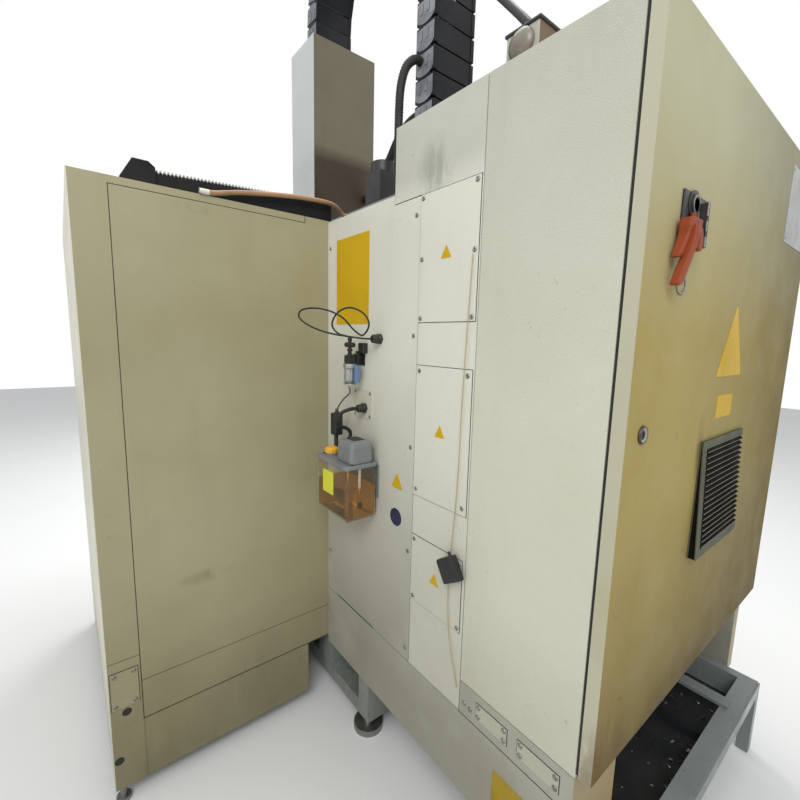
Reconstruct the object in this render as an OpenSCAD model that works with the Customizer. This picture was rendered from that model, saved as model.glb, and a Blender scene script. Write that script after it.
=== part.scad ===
// Vertical machining centre with a sliding-door enclosure and an electrical cabinet on its back.
// Origin on the floor under the middle of the machine, front towards -Y, X across, Z up.

/* [Overall] */
// Half of the enclosure's width, from the spindle's centre plane
encl_hw = 1190; // [1180:5:1240]
// Depth from the enclosure's front plane to its rear wing walls
encl_d = 1250; // [1240:5:1300]
// Distance from the rear wing walls to the outside of the cabinet door
cab_d = 1180; // [1175:5:1220]
// Height of the enclosure's walls and roof
encl_top = 2046; // [2030:2:2080]
// Height of the electrical cabinet's top
cab_top = 2233; // [2225:1:2260]
// Thickness of the sheet metal
sheet_t = 2.5; // [2:0.1:3]

/* [Cabinet] */
// Width of the electrical cabinet and its door
cab_w = 1301; // [1290:1:1320]
// X of the cabinet's right side, from the spindle's centre plane
side_x = 384; // [380:1:392]
// Distance from the door's outside to the cabinet box's front wall
box_d = 391; // [380:1:400]
// Distance from the door's outside to the narrow sheet's rear edge
strip_d = 626; // [620:1:640]
// Distance from the door's outside to the neck's front edge
neck_d = 753; // [745:1:765]
// Height of the neck sheet's lower edge
neck_z = 2014; // [2005:1:2020]
// Height of the cabinet box's floor
box_z = 623; // [618:1:630]
// Height of the seam under the access strip
seam_z = 520; // [510:1:524]
// Height of the lower edge of the side sheets
side_z = 263; // [250:1:275]
// Height of the narrow side sheet's top
side_top = 2040; // [2036:1:2044]
// Width of the dark seams between sheets
seam = 3; // [2:0.5:4]
// Width of the right rear leg under the cabinet
leg_w = 215; // [200:1:230]
// Width of the left rear leg under the cabinet
leg_left_w = 56; // [50:1:60]

/* [Cabinet door] */
// Depth of the door's folded edge
door_t = 29; // [25:1:32]
// Gap between the folded edge and the cabinet, filled by the seal
door_gap = 7; // [5:0.5:8]
// Height of the door's lower edge
door_z = 630; // [626:1:640]
// Height of the door's upper edge
door_top = 2217; // [2200:1:2222]
// Width of the louvred grille
grille_w = 409; // [380:1:430]
// Height of the louvred grille
grille_h = 349; // [320:1:360]
// Distance of the grille from the door's right edge
grille_in = 434; // [420:1:450]
// Height of the grille's lower edge
grille_z = 1003; // [990:1:1020]
// Number of slats in the grille
slats = 18; // [12:1:20]
// How far the grille stands out at its lower edge
grille_out = 22; // [18:1:26]
// Diameter of the filter fan
fan_dia = 240; // [200:2:260]
// Diameter of the door lock
lock_dia = 40; // [34:1:44]
// Length of the main switch's handle
handle_len = 150; // [130:1:170]

/* [Machine] */
// Distance from the cabinet door's outside to the spindle's axis
spindle_d = 1825; // [1815:1:1835]
// Height of the base casting's top
base_top = 560; // [550:1:570]
// Height of the base casting's underside
base_z = 80; // [70:1:90]
// Half width of the base casting
base_hw = 374; // [360:1:378]
// Height of the column's top
col_top = 2100; // [2090:1:2110]
// Width of a guide rail
rail_w = 34; // [30:1:40]
// Height of a guide rail
rail_h = 28; // [25:1:32]
// Height of the saddle casting
saddle_h = 92; // [90:1:100]
// Length of the table
table_l = 900; // [860:5:940]
// Width of the table
table_w = 410; // [400:2:420]
// Thickness of the table
table_t = 92; // [85:1:100]
// Width of a table slot's neck
slot_w = 18; // [14:1:20]
// Distance between the table's slots
slot_pitch = 125; // [100:1:130]
// Diameter of the ball screws
screw_dia = 32; // [28:1:34]
// Table travel each way from the middle
x_travel = 280; // [200:5:280]
// Saddle travel each way from the middle
y_travel = 205; // [150:5:205]
// Height of the spindle's nose above the floor at rest
nose_z = 1284; // [1280:1:1290]
// Radius of the rotating spindle
spindle_r = 44; // [40:0.5:48]
// Half width of the head cover
tower_hw = 178; // [176:1:182]
// Depth of the head cover
tower_d = 249; // [245:1:255]
// Height of the head cover's top at rest
tower_top = 3046; // [3000:1:3060]

/* [Tool magazine] */
// Number of tool pockets
pockets = 16; // [12:1:16]
// Radius of the circle of tool pockets
pocket_ring = 240; // [236:1:244]
// Radius of a tool pocket
pocket_r = 32; // [28:1:33]
// Distance the magazine slides to reach the spindle
mag_travel = 300; // [290:1:300]

/* [Cable chain] */
// Width of the cable chain
chain_w = 200; // [180:2:210]
// Height of a chain link's side plate
link_h = 100; // [90:1:104]
// Radius of the chain's bend at its middle
chain_r = 445; // [440:1:450]
// Links round the half circle
bend_links = 16; // [14:1:18]
// Links in the fixed leg
fixed_links = 11; // [10:1:11]
// Links in the leg that stands on the head cover
head_links = 1; // [1:1:2]

/* [Front] */
// Half width of the front door opening
door_open_hw = 540; // [500:5:560]
// Height of the opening's lower edge
open_z = 820; // [815:1:830]
// Height of the opening's upper edge
open_top = 1940; // [1930:1:1945]
// Thickness of a sliding door
slide_t = 30; // [26:1:32]
// How far the control pendant's face stands in front of the doors
pend_out = 250; // [245:1:255]
// How far the buttons stand out of the pendant's face
knob_out = 25; // [22:1:28]

/* [Coolant tank] */
// How far the tank stands out behind the cabinet door
tank_out = 75; // [70:1:80]
// Height of the tank's rim
tank_top = 300; // [280:1:305]
// Length of the tank along X
tank_l = 994; // [960:1:1000]

/* [Hidden] */

$fn = 48;
// Clearance between a sliding face and its guide
slide_gap = 0.3;
// Radial clearance of a shaft in its bearing
run_gap = 0.05;
// Smallest overlap that makes a cut pass through a face
cut = 1;

total_d = cab_d + encl_d + tank_out + pend_out + knob_out;
door_y = total_d / 2 - tank_out;
wing_y = door_y - cab_d;
front_y = wing_y - encl_d;
spin_y = door_y - spindle_d;
box_y = door_y - door_t - door_gap;
side_in = side_x - sheet_t;
left_x = side_x - cab_w;
left_in = left_x + sheet_t;
wall_in = encl_hw - sheet_t;
skin_in = wing_y - sheet_t;
roof_z = encl_top - sheet_t;

// Y of a place given by its distance from the cabinet door's outside
function back(d) = door_y - d;

// A block between two corners given axis by axis
module span(x, y, z) {
    translate([x[0], y[0], z[0]]) cube([x[1] - x[0], y[1] - y[0], z[1] - z[0]]);
}

// A cylinder along X, from one X to another
module rod_x(x, y, z, r) {
    translate([x[0], y, z]) rotate([0, 90, 0]) cylinder(r = r, h = x[1] - x[0]);
}

// A cylinder along Y, from one Y to another
module rod_y(x, y, z, r) {
    translate([x, y[1], z]) rotate([90, 0, 0]) cylinder(r = r, h = y[1] - y[0]);
}

// A cylinder along Z, from one Z to another
module rod_z(x, y, z, r) {
    translate([x, y, z[0]]) cylinder(r = r, h = z[1] - z[0]);
}

// An outline in Y and Z, extruded along X from x[0] to x[1]
module sheet_yz(x, points) {
    translate([x[0], 0, 0]) rotate([90, 0, 90]) linear_extrude(x[1] - x[0]) polygon(points);
}

// An outline in X and Z, extruded along Y from y[0] to y[1]
module profile_xz(y, points) {
    translate([0, y[1], 0]) rotate([90, 0, 0]) linear_extrude(y[1] - y[0]) polygon(points);
}

// Swept tubes for hoses and cables
function unit(v) = v / norm(v);
function along(path, i) = unit(path[min(i + 1, len(path) - 1)] - path[max(i - 1, 0)]);
function carried(path, i, side) =
    i == len(path) ? [] :
    let (t = along(path, i), n = unit(side - (side * t) * t))
    concat([n], carried(path, i + 1, n));
module tube(path, dia, side, count) {
    normals = carried(path, 0, side);
    rings = [
        for (i = [0:len(path) - 1])
        let (b = cross(along(path, i), normals[i]))
        for (k = [0:count - 1])
        path[i] + dia / 2 * (cos(360 * k / count) * normals[i] + sin(360 * k / count) * b)
    ];
    walls = [
        for (i = [0:len(path) - 2], k = [0:count - 1])
        let (a = i * count + k, b = i * count + (k + 1) % count)
        each [[a + count, b, a], [a + count, b + count, b]]
    ];
    first = [for (k = [0:count - 1]) k];
    last = [for (k = [count - 1:-1:0]) (len(path) - 1) * count + k];
    polyhedron(rings, concat([first], walls, [last]));
}

// Base, column and axes
base_front = spin_y - 430;
col_front = spin_y + 430;
col_back = col_front + 520;
col_hw = 280;
rail_x = 260;
rail_top = base_top + rail_h;
saddle_z = rail_top + slide_gap;
saddle_top = saddle_z + saddle_h;
saddle_hl = 430;
saddle_hw = 190;
x_rail_y = 130;
table_z = saddle_top + rail_h + slide_gap;
table_top = table_z + table_t;
x_screw_z = saddle_top - 30;
y_screw_z = base_top - 25;
screw_r = screw_dia / 2;
z_rail_x = 190;
z_screw_y = col_front + 40;
channel_hw = 55;
bearing_t = 22;
journal_r = 14;
journal_l = 44;
y_axis_z = y_screw_z - 20;
x_axis_z = x_screw_z - 10;

pocket_step = 340;
pocket_top = 360;
drain_x = -280;
drain_r = 34;
drain_t = 4;
drain_z = tank_top - 4 + drain_r + slide_gap;
module base_casting() {
    color([0.55, 0.58, 0.55])
    difference() {
        profile_xz([base_front, col_back], [
            [-base_hw, base_z], [base_hw, base_z], [base_hw, 420], [330, base_top],
            [-330, base_top], [-base_hw, 420]
        ]);
        span([-channel_hw, channel_hw], [base_front + bearing_t, col_front - 30],
             [base_top - 75, base_top + cut]);
        rod_y(0, [base_front - cut, base_front + bearing_t + cut], y_axis_z, journal_r + run_gap);
        rod_y(0, [col_front - 31, col_front - 3], y_axis_z, screw_r + run_gap);
        for (i = [0:3]) {
            span([-base_hw - cut, base_hw + cut],
                 [base_front + 60 + i * pocket_step, base_front + 290 + i * pocket_step], [140, pocket_top]);
        }
        rod_y(drain_x, [col_back - 80, col_back + cut], drain_z, drain_r - drain_t);
    }
    color([0.55, 0.58, 0.55])
    difference() {
        rod_y(drain_x, [col_back, tank_y[0] + 90], drain_z, drain_r);
        rod_y(drain_x, [col_back - cut, tank_y[0] + 91], drain_z, drain_r - drain_t);
    }
}

bracket_low = 760;
bracket_up = 1900;
module column() {
    color([0.55, 0.58, 0.55]) {
        difference() {
            profile_xz([col_front, col_back], [
                [-360, base_top], [360, base_top], [360, 760], [col_hw, 1120], [col_hw, col_top],
                [-col_hw, col_top], [-col_hw, 1120], [-360, 760]
            ]);
            span([-70, 70], [col_front - cut, col_front + 110], [base_top - cut, col_top + cut]);
            for (i = [0:3]) {
                span([-150, 150], [col_back - 60, col_back + cut], [700 + i * 340, 960 + i * 340]);
            }
        }
        difference() {
            span([-70, 70], [col_front, col_front + 80], [1050, 1090]);
            rod_z(0, z_screw_y, [1050 - cut, 1090 + cut], screw_r + run_gap);
        }
        for (x = [-200, 200], z = [bracket_low, bracket_up])
            span([x - 30, x + 30], [col_back, back(box_d)], [z, z + 60]);
        magazine_beam();
        chain_end(chain_fixed_y, col_top, chain_z);
    }
}

beam_z = 1340;
beam_h = 80;
module magazine_beam() {
    span([-880, -col_hw], [col_front + 40, col_front + 120], [beam_z, beam_z + beam_h]);
}

// Feet of the base and of the enclosure
foot_places = [for (x = [-330, 330], y = [base_front + 60, spin_y + 280, col_back - 60]) [x, y]];
post_c = encl_hw - sheet_t - 20;
encl_feet = [for (x = [-post_c, post_c], y = [front_y + 62.5, skin_in - 22.5]) [x, y]];
frame_z = 64;
module levelling_feet() {
    color([0.35, 0.35, 0.36]) {
        for (p = foot_places) {
            rod_z(p[0], p[1], [0, 26], 60);
            rod_z(p[0], p[1], [26, base_z], 18);
        }
        for (p = encl_feet) {
            rod_z(p[0], p[1], [0, 16], 22);
            rod_z(p[0], p[1], [16, frame_z], 10);
        }
    }
}

module guide_rails() {
    color([0.7, 0.71, 0.72]) {
        for (x = [-rail_x, rail_x]) {
            span([x - rail_w / 2, x + rail_w / 2], [base_front + 10, col_front - 20], [base_top, rail_top]);
        }
        for (x = [-z_rail_x, z_rail_x]) {
            span([x - rail_w / 2, x + rail_w / 2], [col_front - rail_h, col_front], [860, col_top - 10]);
        }
    }
}

// Servo motor with its flange, its shaft end at the origin along +Z
module servo(size, length) {
    difference() {
        union() {
            translate([-size / 2, -size / 2, 0]) cube([size, size, 16]);
            translate([-size / 2 + 6, -size / 2 + 6, 16]) cube([size - 12, size - 12, length - 66]);
            translate([0, 0, length - 50]) cylinder(r = size / 2 - 8, h = 50);
        }
        translate([0, 0, -cut]) cylinder(r = journal_r + run_gap, h = 30);
    }
}

z_motor_z = col_top + 60;
module servo_motors() {
    color([0.12, 0.12, 0.13]) {
        translate([0, base_front, y_axis_z]) rotate([90, 0, 0]) servo(100, 120);
        translate([0, z_screw_y, z_motor_z]) servo(130, 240);
        difference() {
            span([-90, 90], [z_screw_y - 75, z_screw_y + 75], [col_top, z_motor_z]);
            span([-50, 50], [z_screw_y - 76, z_screw_y + 40], [col_top - cut, z_motor_z - 12]);
            rod_z(0, z_screw_y, [z_motor_z - 20, z_motor_z + cut], 20);
        }
    }
}

// Ball screw along +Z from the origin, with the journal that enters its motor
module ball_screw(length) {
    cylinder(r = screw_r, h = length);
    translate([0, 0, length]) cylinder(r = journal_r, h = journal_l);
}

y_screw_len = col_front - 6 - base_front - 24;
z_screw_len = 1080;
x_screw_len = 2 * saddle_hl - 30;
module y_screw() {
    color([0.72, 0.73, 0.74])
    translate([0, base_front + 24 + y_screw_len, y_axis_z]) rotate([90, 0, 0]) ball_screw(y_screw_len);
}

module z_screw() {
    color([0.72, 0.73, 0.74])
    translate([0, z_screw_y, z_motor_z - 24 - z_screw_len]) ball_screw(z_screw_len);
}

module x_screw() {
    color([0.72, 0.73, 0.74])
    translate([-saddle_hl + 6, spin_y, x_axis_z]) rotate([0, 90, 0]) ball_screw(x_screw_len);
}

// Carriage that straddles a rail along Y, its seat on the rail's top
module carriage_y(x, y) {
    difference() {
        span([x - 35, x + 35], [y - 45, y + 45], [base_top + 6, saddle_z]);
        span([x - rail_w / 2 - slide_gap, x + rail_w / 2 + slide_gap], [y - 46, y + 46],
             [base_top, saddle_z]);
    }
}

module saddle() {
    color([0.55, 0.58, 0.55])
    difference() {
        union() {
            span([-saddle_hl, saddle_hl], [spin_y - saddle_hw, spin_y + saddle_hw], [saddle_z, saddle_top]);
            for (x = [-rail_x, rail_x], y = [-140, 140]) carriage_y(x, spin_y + y);
            span([-45, 45], [spin_y - 60, spin_y + 60], [y_axis_z - 25, saddle_z]);
            translate([saddle_hl, spin_y, x_axis_z]) rotate([0, 90, 0]) servo(96, 150);
        }
        span([-saddle_hl + 40, saddle_hl - 40], [spin_y - 42, spin_y + 42],
             [x_screw_z - 50, saddle_top + cut]);
        rod_x([-saddle_hl + 6 - slide_gap, saddle_hl - 24], spin_y, x_axis_z, screw_r + run_gap);
        rod_x([saddle_hl - 24 - cut, saddle_hl + 25], spin_y, x_axis_z, journal_r + run_gap);
        rod_y(0, [spin_y - 61, spin_y + 61], y_axis_z, screw_r + run_gap);
    }
}

module x_rails() {
    color([0.7, 0.71, 0.72])
    for (y = [-x_rail_y, x_rail_y]) {
        span([-saddle_hl, saddle_hl], [spin_y + y - rail_w / 2, spin_y + y + rail_w / 2],
             [saddle_top, saddle_top + rail_h]);
    }
}

slot_depth = 32;
module table() {
    color([0.62, 0.63, 0.62])
    difference() {
        union() {
            span([-table_l / 2, table_l / 2], [spin_y - table_w / 2, spin_y + table_w / 2],
                 [table_z, table_top]);
            for (x = [-110, 110], y = [-x_rail_y, x_rail_y]) {
                difference() {
                    span([x - 45, x + 45], [spin_y + y - 35, spin_y + y + 35], [saddle_top + 6, table_z]);
                    span([x - 46, x + 46],
                         [spin_y + y - rail_w / 2 - slide_gap, spin_y + y + rail_w / 2 + slide_gap],
                         [saddle_top, table_z]);
                }
            }
            span([-42, 42], [spin_y - 38, spin_y + 38], [x_screw_z - 42, table_z]);
        }
        for (y = [-slot_pitch, 0, slot_pitch]) {
            span([-table_l / 2 - cut, table_l / 2 + cut], [spin_y + y - slot_w / 2, spin_y + y + slot_w / 2],
                 [table_top - slot_depth, table_top + cut]);
            span([-table_l / 2 - cut, table_l / 2 + cut],
                 [spin_y + y - slot_w / 2 - 7, spin_y + y + slot_w / 2 + 7],
                 [table_top - slot_depth, table_top - slot_depth + 13]);
        }
        rod_x([-43, 43], spin_y, x_axis_z, screw_r + run_gap);
    }
}

// Head, spindle and cover
head_z = nose_z + 116;
head_top = 1880;
head_hw = 150;
head_back = col_front - rail_h - slide_gap;
module head_casting() {
    color([0.55, 0.58, 0.55])
    difference() {
        union() {
            sheet_yz([-head_hw, head_hw], [
                [spin_y - 130, head_z], [spin_y + 110, head_z], [spin_y + 280, head_z + 60],
                [spin_y + 280, head_top], [spin_y - 130, head_top], [spin_y - 130, head_z + 40]
            ]);
            span([-235, 235], [spin_y + 278, head_back], [head_z - 60, head_top + 80]);
            for (x = [-z_rail_x, z_rail_x], z = [head_z - 20, head_top - 60]) {
                difference() {
                    span([x - 36, x + 36], [head_back - 2, col_front - 6], [z, z + 100]);
                    span([x - rail_w / 2 - slide_gap, x + rail_w / 2 + slide_gap],
                         [head_back, col_front], [z - cut, z + 101]);
                }
            }
            span([-50, 50], [head_back - 2, z_screw_y + 45], [head_z + 150, head_z + 250]);
        }
        rod_z(0, z_screw_y, [head_z + 149, head_z + 251], screw_r + run_gap);
        rod_z(0, spin_y, [head_z - cut, head_top + cut], 75);
    }
}

module spindle_cartridge() {
    color([0.66, 0.67, 0.68])
    difference() {
        union() {
            rod_z(0, spin_y, [nose_z + 6, head_z], 70);
            rod_z(0, spin_y, [head_z - 24, head_z], 90);
            rod_z(0, spin_y, [head_z, head_top - 60], 75 - run_gap);
        }
        rod_z(0, spin_y, [nose_z, head_top], spindle_r + run_gap);
    }
}

module spindle() {
    color([0.78, 0.79, 0.8])
    difference() {
        union() {
            rod_z(0, spin_y, [nose_z, head_top - 60], spindle_r);
            rod_z(0, spin_y, [head_top - 60, head_top + 30], 20);
        }
        translate([0, spin_y, nose_z - 0.01]) cylinder(r1 = 22.2, r2 = 12, h = 70);
        rod_z(0, spin_y, [nose_z + 60, nose_z + 200], 9);
    }
}

module spindle_motor() {
    color([0.12, 0.12, 0.13])
    difference() {
        union() {
            span([-105, 105], [spin_y - 95, spin_y + 95], [head_top, head_top + 20]);
            span([-92, 92], [spin_y - 92, spin_y + 92], [head_top + 20, head_top + 380]);
            rod_z(0, spin_y, [head_top + 380, head_top + 470], 80);
            rod_z(0, spin_y, [head_top + 470, head_top + 640], 62);
        }
        rod_z(0, spin_y, [head_top - cut, head_top + 40], 20 + run_gap);
    }
}

tower_y = spin_y - tower_d / 2;
module head_tower() {
    color([0.78, 0.75, 0.65])
    difference() {
        span([-tower_hw, tower_hw], [tower_y, tower_y + tower_d], [head_top, tower_top]);
        span([-tower_hw + sheet_t, tower_hw - sheet_t], [tower_y + sheet_t, tower_y + tower_d - sheet_t],
             [head_top - cut, tower_top - sheet_t]);
    }
    color([0.3, 0.3, 0.3]) chain_end(chain_head_y, tower_top, tower_top + chain_seat);
}

// Tool magazine
mag_x = -pocket_ring - mag_travel;
disc_z = nose_z - 54;
disc_r = pocket_ring + 35;
hub_z = disc_z + 32;
arm_z = head_z - 35;
module magazine_disc() {
    color([0.3, 0.31, 0.33])
    translate([mag_x, spin_y, disc_z])
    difference() {
        union() {
            cylinder(r = disc_r, h = 32);
            translate([0, 0, 32]) cylinder(r = 40, h = 60);
        }
        for (i = [0:pockets - 1]) rotate([0, 0, i * 360 / pockets]) {
            translate([pocket_ring, 0, -cut]) cylinder(r = pocket_r, h = 34);
            translate([pocket_ring, -pocket_r + 6, -cut]) cube([60, 2 * pocket_r - 12, 34]);
        }
        translate([0, 0, -cut]) cylinder(r = 20, h = 100);
    }
}

module magazine_carriage() {
    color([0.45, 0.47, 0.5])
    difference() {
        union() {
            rod_z(mag_x, spin_y, [hub_z + 8, arm_z + 2], 80);
            translate([0, 0, arm_z]) linear_extrude(25)
                polygon([
                    [mag_x + 80, spin_y - 80], [mag_x + 80, spin_y + 80], [mag_x - 80, spin_y + 260],
                    [mag_x - 80, col_front + 18], [mag_x - 250, col_front + 18], [mag_x - 250, spin_y + 200],
                    [mag_x - 80, spin_y - 80]
                ]);
            span([mag_x - 250, mag_x - 80], [col_front + 16, col_front + 40 - slide_gap],
                 [beam_z - 12, beam_z + beam_h + 12]);
            span([mag_x - 250, mag_x - 80], [col_front + 16, col_front + 90],
                 [beam_z + beam_h + slide_gap, beam_z + beam_h + 12]);
            span([mag_x - 250, mag_x - 80], [col_front + 16, col_front + 90],
                 [beam_z - 12, beam_z - slide_gap]);
            rod_z(mag_x - 165, spin_y + 210, [arm_z + 23, arm_z + 190], 58);
        }
        rod_z(mag_x, spin_y, [hub_z, hub_z + 60 + slide_gap], 40 + run_gap);
    }
}

// Cable chain: an upside-down U in the Y and Z plane, its links made one by one
chain_x = 20;
chain_seat = 34;
pitch = PI * chain_r / bend_links;
chain_head_y = spin_y - 5;
chain_fixed_y = chain_head_y + 2 * chain_r;
bend_z = tower_top + chain_seat + head_links * pitch;
chain_z = bend_z - fixed_links * pitch;
plate_t = 16;
bar_t = 5;
bar_gap_out = 6;
bar_gap_in = 14;
notch = link_h / 2 * tan(90 / bend_links) + 0.5;
tongue_r = 30;
link_gap = 0.5;

// Outline of a link's side plate in one layer: its tongue is round about one pivot, and it is cut
// out round the neighbour's tongue at the other
module plate_outline(tongue_at, cut_at) {
    difference() {
        union() {
            polygon([
                [-link_h / 2, notch], [0, 0], [link_h / 2, notch],
                [link_h / 2, pitch - notch], [0, pitch], [-link_h / 2, pitch - notch]
            ]);
            translate([0, tongue_at]) circle(r = tongue_r);
        }
        translate([0, cut_at]) circle(r = tongue_r + link_gap);
    }
}

// One link, its length along +Z from the origin
module link() {
    for (side = [-1, 1]) {
        translate([side * (chain_w / 2 - plate_t / 4), 0, 0]) rotate([90, 0, 90])
            linear_extrude(plate_t / 2, center = true) plate_outline(pitch, 0);
        translate([side * (chain_w / 2 - plate_t * 3 / 4 - link_gap / 2), 0, 0]) rotate([90, 0, 90])
            linear_extrude(plate_t / 2 - link_gap, center = true) plate_outline(0, pitch);
        translate([side * (chain_w / 2 - plate_t / 2), 0, pitch / 2])
            cube([plate_t / 2, link_h / 2, 12], center = true);
    }
    for (bar = [[1, bar_gap_out], [-1, bar_gap_in]]) {
        translate([0, bar[0] * (link_h / 2 - bar_t / 2 - 2), pitch / 2])
        cube([chain_w - 2 * plate_t + 4, bar_t, pitch - bar[1]], center = true);
    }
}

module cable_chain() {
    color([0.1, 0.1, 0.1]) {
        for (i = [0:fixed_links - 1]) translate([chain_x, chain_fixed_y, chain_z + i * pitch]) link();
        for (i = [0:bend_links - 1])
            translate([chain_x, chain_fixed_y - chain_r, bend_z])
            rotate([(i + 0.5) * 180 / bend_links, 0, 0])
            translate([0, chain_r, -pitch / 2]) link();
        for (i = [0:head_links - 1])
            translate([chain_x, chain_head_y, tower_top + chain_seat + i * pitch]) link();
    }
}

// Block that the chain's end link is pinned to, its foot at height foot and the pivot at height pivot
module chain_end(y, foot, pivot) {
    half = chain_w / 2 - plate_t - link_gap;
    span([chain_x - half, chain_x + half], [y - link_h / 2 + 8, y + link_h / 2 - 8], [foot, pivot + 14]);
    span([chain_x - chain_w / 2, chain_x + chain_w / 2], [y - link_h / 2, y + link_h / 2],
         [foot, pivot - tongue_r - 2]);
}

// Enclosure
post = 40;
front_in = front_y + slide_t + 10;
frame_front = front_in + sheet_t;
module enclosure_frame() {
    color([0.5, 0.5, 0.48]) {
        for (s = [-1, 1]) {
            for (y = [frame_front, skin_in - sheet_t - post])
                translate([s * (wall_in - post / 2) - post / 2, y, frame_z + post])
                cube([post, post, roof_z - frame_z - 2 * post]);
            for (z = [frame_z, roof_z - post])
                translate([s * (wall_in - post / 2) - post / 2, frame_front, z])
                cube([post, skin_in - sheet_t - frame_front, post]);
        }
        for (z = [frame_z, roof_z - post])
            span([-wall_in + post, wall_in - post], [frame_front, frame_front + post], [z, z + post]);
        span([-wall_in + post, -base_hw], [spin_y, spin_y + post], [frame_z + 30, frame_z + 70]);
        span([base_hw, wall_in - post], [spin_y, spin_y + post], [frame_z + 30, frame_z + 70]);
        for (x = [[side_x + 100, wall_in - post], [-wall_in + post, left_x]])
            span(x, [skin_in - sheet_t - post, skin_in - sheet_t], [frame_z, frame_z + post]);
    }
}

module side_walls() {
    color([0.8, 0.77, 0.68]) {
        for (s = [-1, 1])
            translate([s * (encl_hw - sheet_t / 2) - sheet_t / 2, front_in, frame_z])
            cube([sheet_t, wing_y - front_in, encl_top - frame_z]);
        sheet_yz([left_x, left_in], [
            [wing_y, side_z], [box_y, side_z], [box_y, box_z - seam], [back(box_d), box_z - seam],
            [back(box_d), cab_top], [back(neck_d), cab_top], [back(neck_d), side_top], [wing_y, side_top]
        ]);
    }
}

// Right rear wing wall, with its panel opening and the lip that the panel sits on
panel_x = [side_x + 98, encl_hw - 95];
panel_z = [436, 2023];
panel_seam = 2.5;
lip = 18;
skirt_top = 290;
wing_z = 294;
corner_x = [encl_hw - 93, encl_hw - 4];
corner_top = 533;
wing_hole_r = 14;
module wing_walls() {
    color([0.76, 0.73, 0.63]) {
        difference() {
            union() {
                span([side_in - 12, wall_in], [skin_in, wing_y], [wing_z, encl_top]);
                span([panel_x[0] - lip, panel_x[1] + lip], [skin_in - sheet_t, skin_in],
                     [panel_z[0] - lip, panel_z[1] + 12]);
                span(corner_x, [wing_y, wing_y + 1.5], [wing_z, corner_top]);
            }
            span([side_in - 13, base_hw + 2], [skin_in - cut, wing_y + cut], [wing_z - cut, base_top + 5]);
            span(panel_x, [skin_in, wing_y + cut], panel_z);
            span([panel_x[0] + lip, panel_x[1] - lip], [skin_in - sheet_t - cut, wing_y],
                 [panel_z[0] + lip, panel_z[1] - lip]);
            rod_y(encl_hw - 48, [skin_in - 5, wing_y + 5], 345, wing_hole_r);
        }
        difference() {
            span([side_x + 96, wall_in], [skin_in - sheet_t, skin_in], [frame_z, skirt_top]);
            rod_y(encl_hw - 17, [skin_in - sheet_t - cut, skin_in + cut], 173, wing_hole_r);
        }
        span([-wall_in, left_in], [skin_in, wing_y], [wing_z, encl_top]);
        span([-wall_in, left_in], [skin_in - sheet_t, skin_in], [frame_z, skirt_top]);
    }
}

module wing_panel() {
    color([0.78, 0.75, 0.65])
    span([panel_x[0] + panel_seam, panel_x[1] - panel_seam], [skin_in, wing_y],
         [panel_z[0] + panel_seam, panel_z[1] - panel_seam]);
}

rail_in = 30;
module front_panels() {
    color([0.8, 0.77, 0.68]) {
        for (s = [-1, 1]) {
            translate([s > 0 ? door_open_hw : -wall_in, front_in, frame_z])
                cube([wall_in - door_open_hw, sheet_t, encl_top - frame_z]);
            translate([s > 0 ? door_open_hw : -door_open_hw - sheet_t, front_in + sheet_t, open_z])
                cube([sheet_t, rail_in, open_top - open_z]);
        }
        span([-door_open_hw, door_open_hw], [front_in, front_in + sheet_t], [open_top, encl_top]);
        span([-door_open_hw, door_open_hw], [front_in, front_in + sheet_t], [frame_z, open_z]);
    }
}

rail_low = 770;
rail_up = 1960;
rail_depth = 10;
module door_rails() {
    color([0.6, 0.61, 0.62]) {
        for (z = [[rail_up, rail_up + 40], [rail_low, rail_low + 30]])
            span([40 - encl_hw, encl_hw - 40], [front_in - rail_depth + slide_gap, front_in], z);
    }
}

// A sliding door, its free edge at x = 1, its leaf towards +X, the handle near the free edge
leaf_w = 570;
leaf_z = [775, 2003];
pane_x = [95, 480];
pane_z = [1120, 1800];
pane_lip = 12;
bar_x = 48;
bar_r = 12;
bar_out = 52;
bar_z = [1250, 1550];
module slide_door() {
    difference() {
        union() {
            span([1, leaf_w], [front_y, front_y + slide_t], leaf_z);
            span([1, leaf_w], [front_y, front_in - 2], [rail_up + 40 + slide_gap, leaf_z[1]]);
        }
        span(pane_x, [front_y - cut, front_y + slide_t + cut], pane_z);
        span([pane_x[0] - pane_lip, pane_x[1] + pane_lip], [front_y + 12, front_y + slide_t + cut],
             [pane_z[0] - pane_lip, pane_z[1] + pane_lip]);
        span([30, leaf_w - 30], [front_y + 3, front_y + slide_t + cut], [leaf_z[0] + 30, pane_z[0] - 40]);
    }
    rod_z(bar_x, front_y - bar_out, bar_z, bar_r);
    for (z = [bar_z[0] + 25, bar_z[1] - 25]) rod_y(bar_x, [front_y - bar_out, front_y], z, 8);
}

module front_door_right() {
    color([0.72, 0.71, 0.66]) slide_door();
}

module front_door_left() {
    color([0.72, 0.71, 0.66]) mirror([1, 0, 0]) slide_door();
}

module pane() {
    span([pane_x[0] - pane_lip + slide_gap, pane_x[1] + pane_lip - slide_gap],
         [front_y + 12, front_y + 21],
         [pane_z[0] - pane_lip + slide_gap, pane_z[1] + pane_lip - slide_gap]);
}

module window_right() {
    color([0.5, 0.6, 0.6, 0.5]) pane();
}

module window_left() {
    color([0.5, 0.6, 0.6, 0.5]) mirror([1, 0, 0]) pane();
}

roof_open = 290;
module roof_sheets() {
    color([0.7, 0.68, 0.6]) {
        for (s = [-1, 1])
            translate([s > 0 ? roof_open : -wall_in, frame_front, roof_z])
            cube([wall_in - roof_open, skin_in - frame_front, sheet_t]);
        span([-roof_open, roof_open], [frame_front, tower_y - 60], [roof_z, encl_top]);
    }
}

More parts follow.
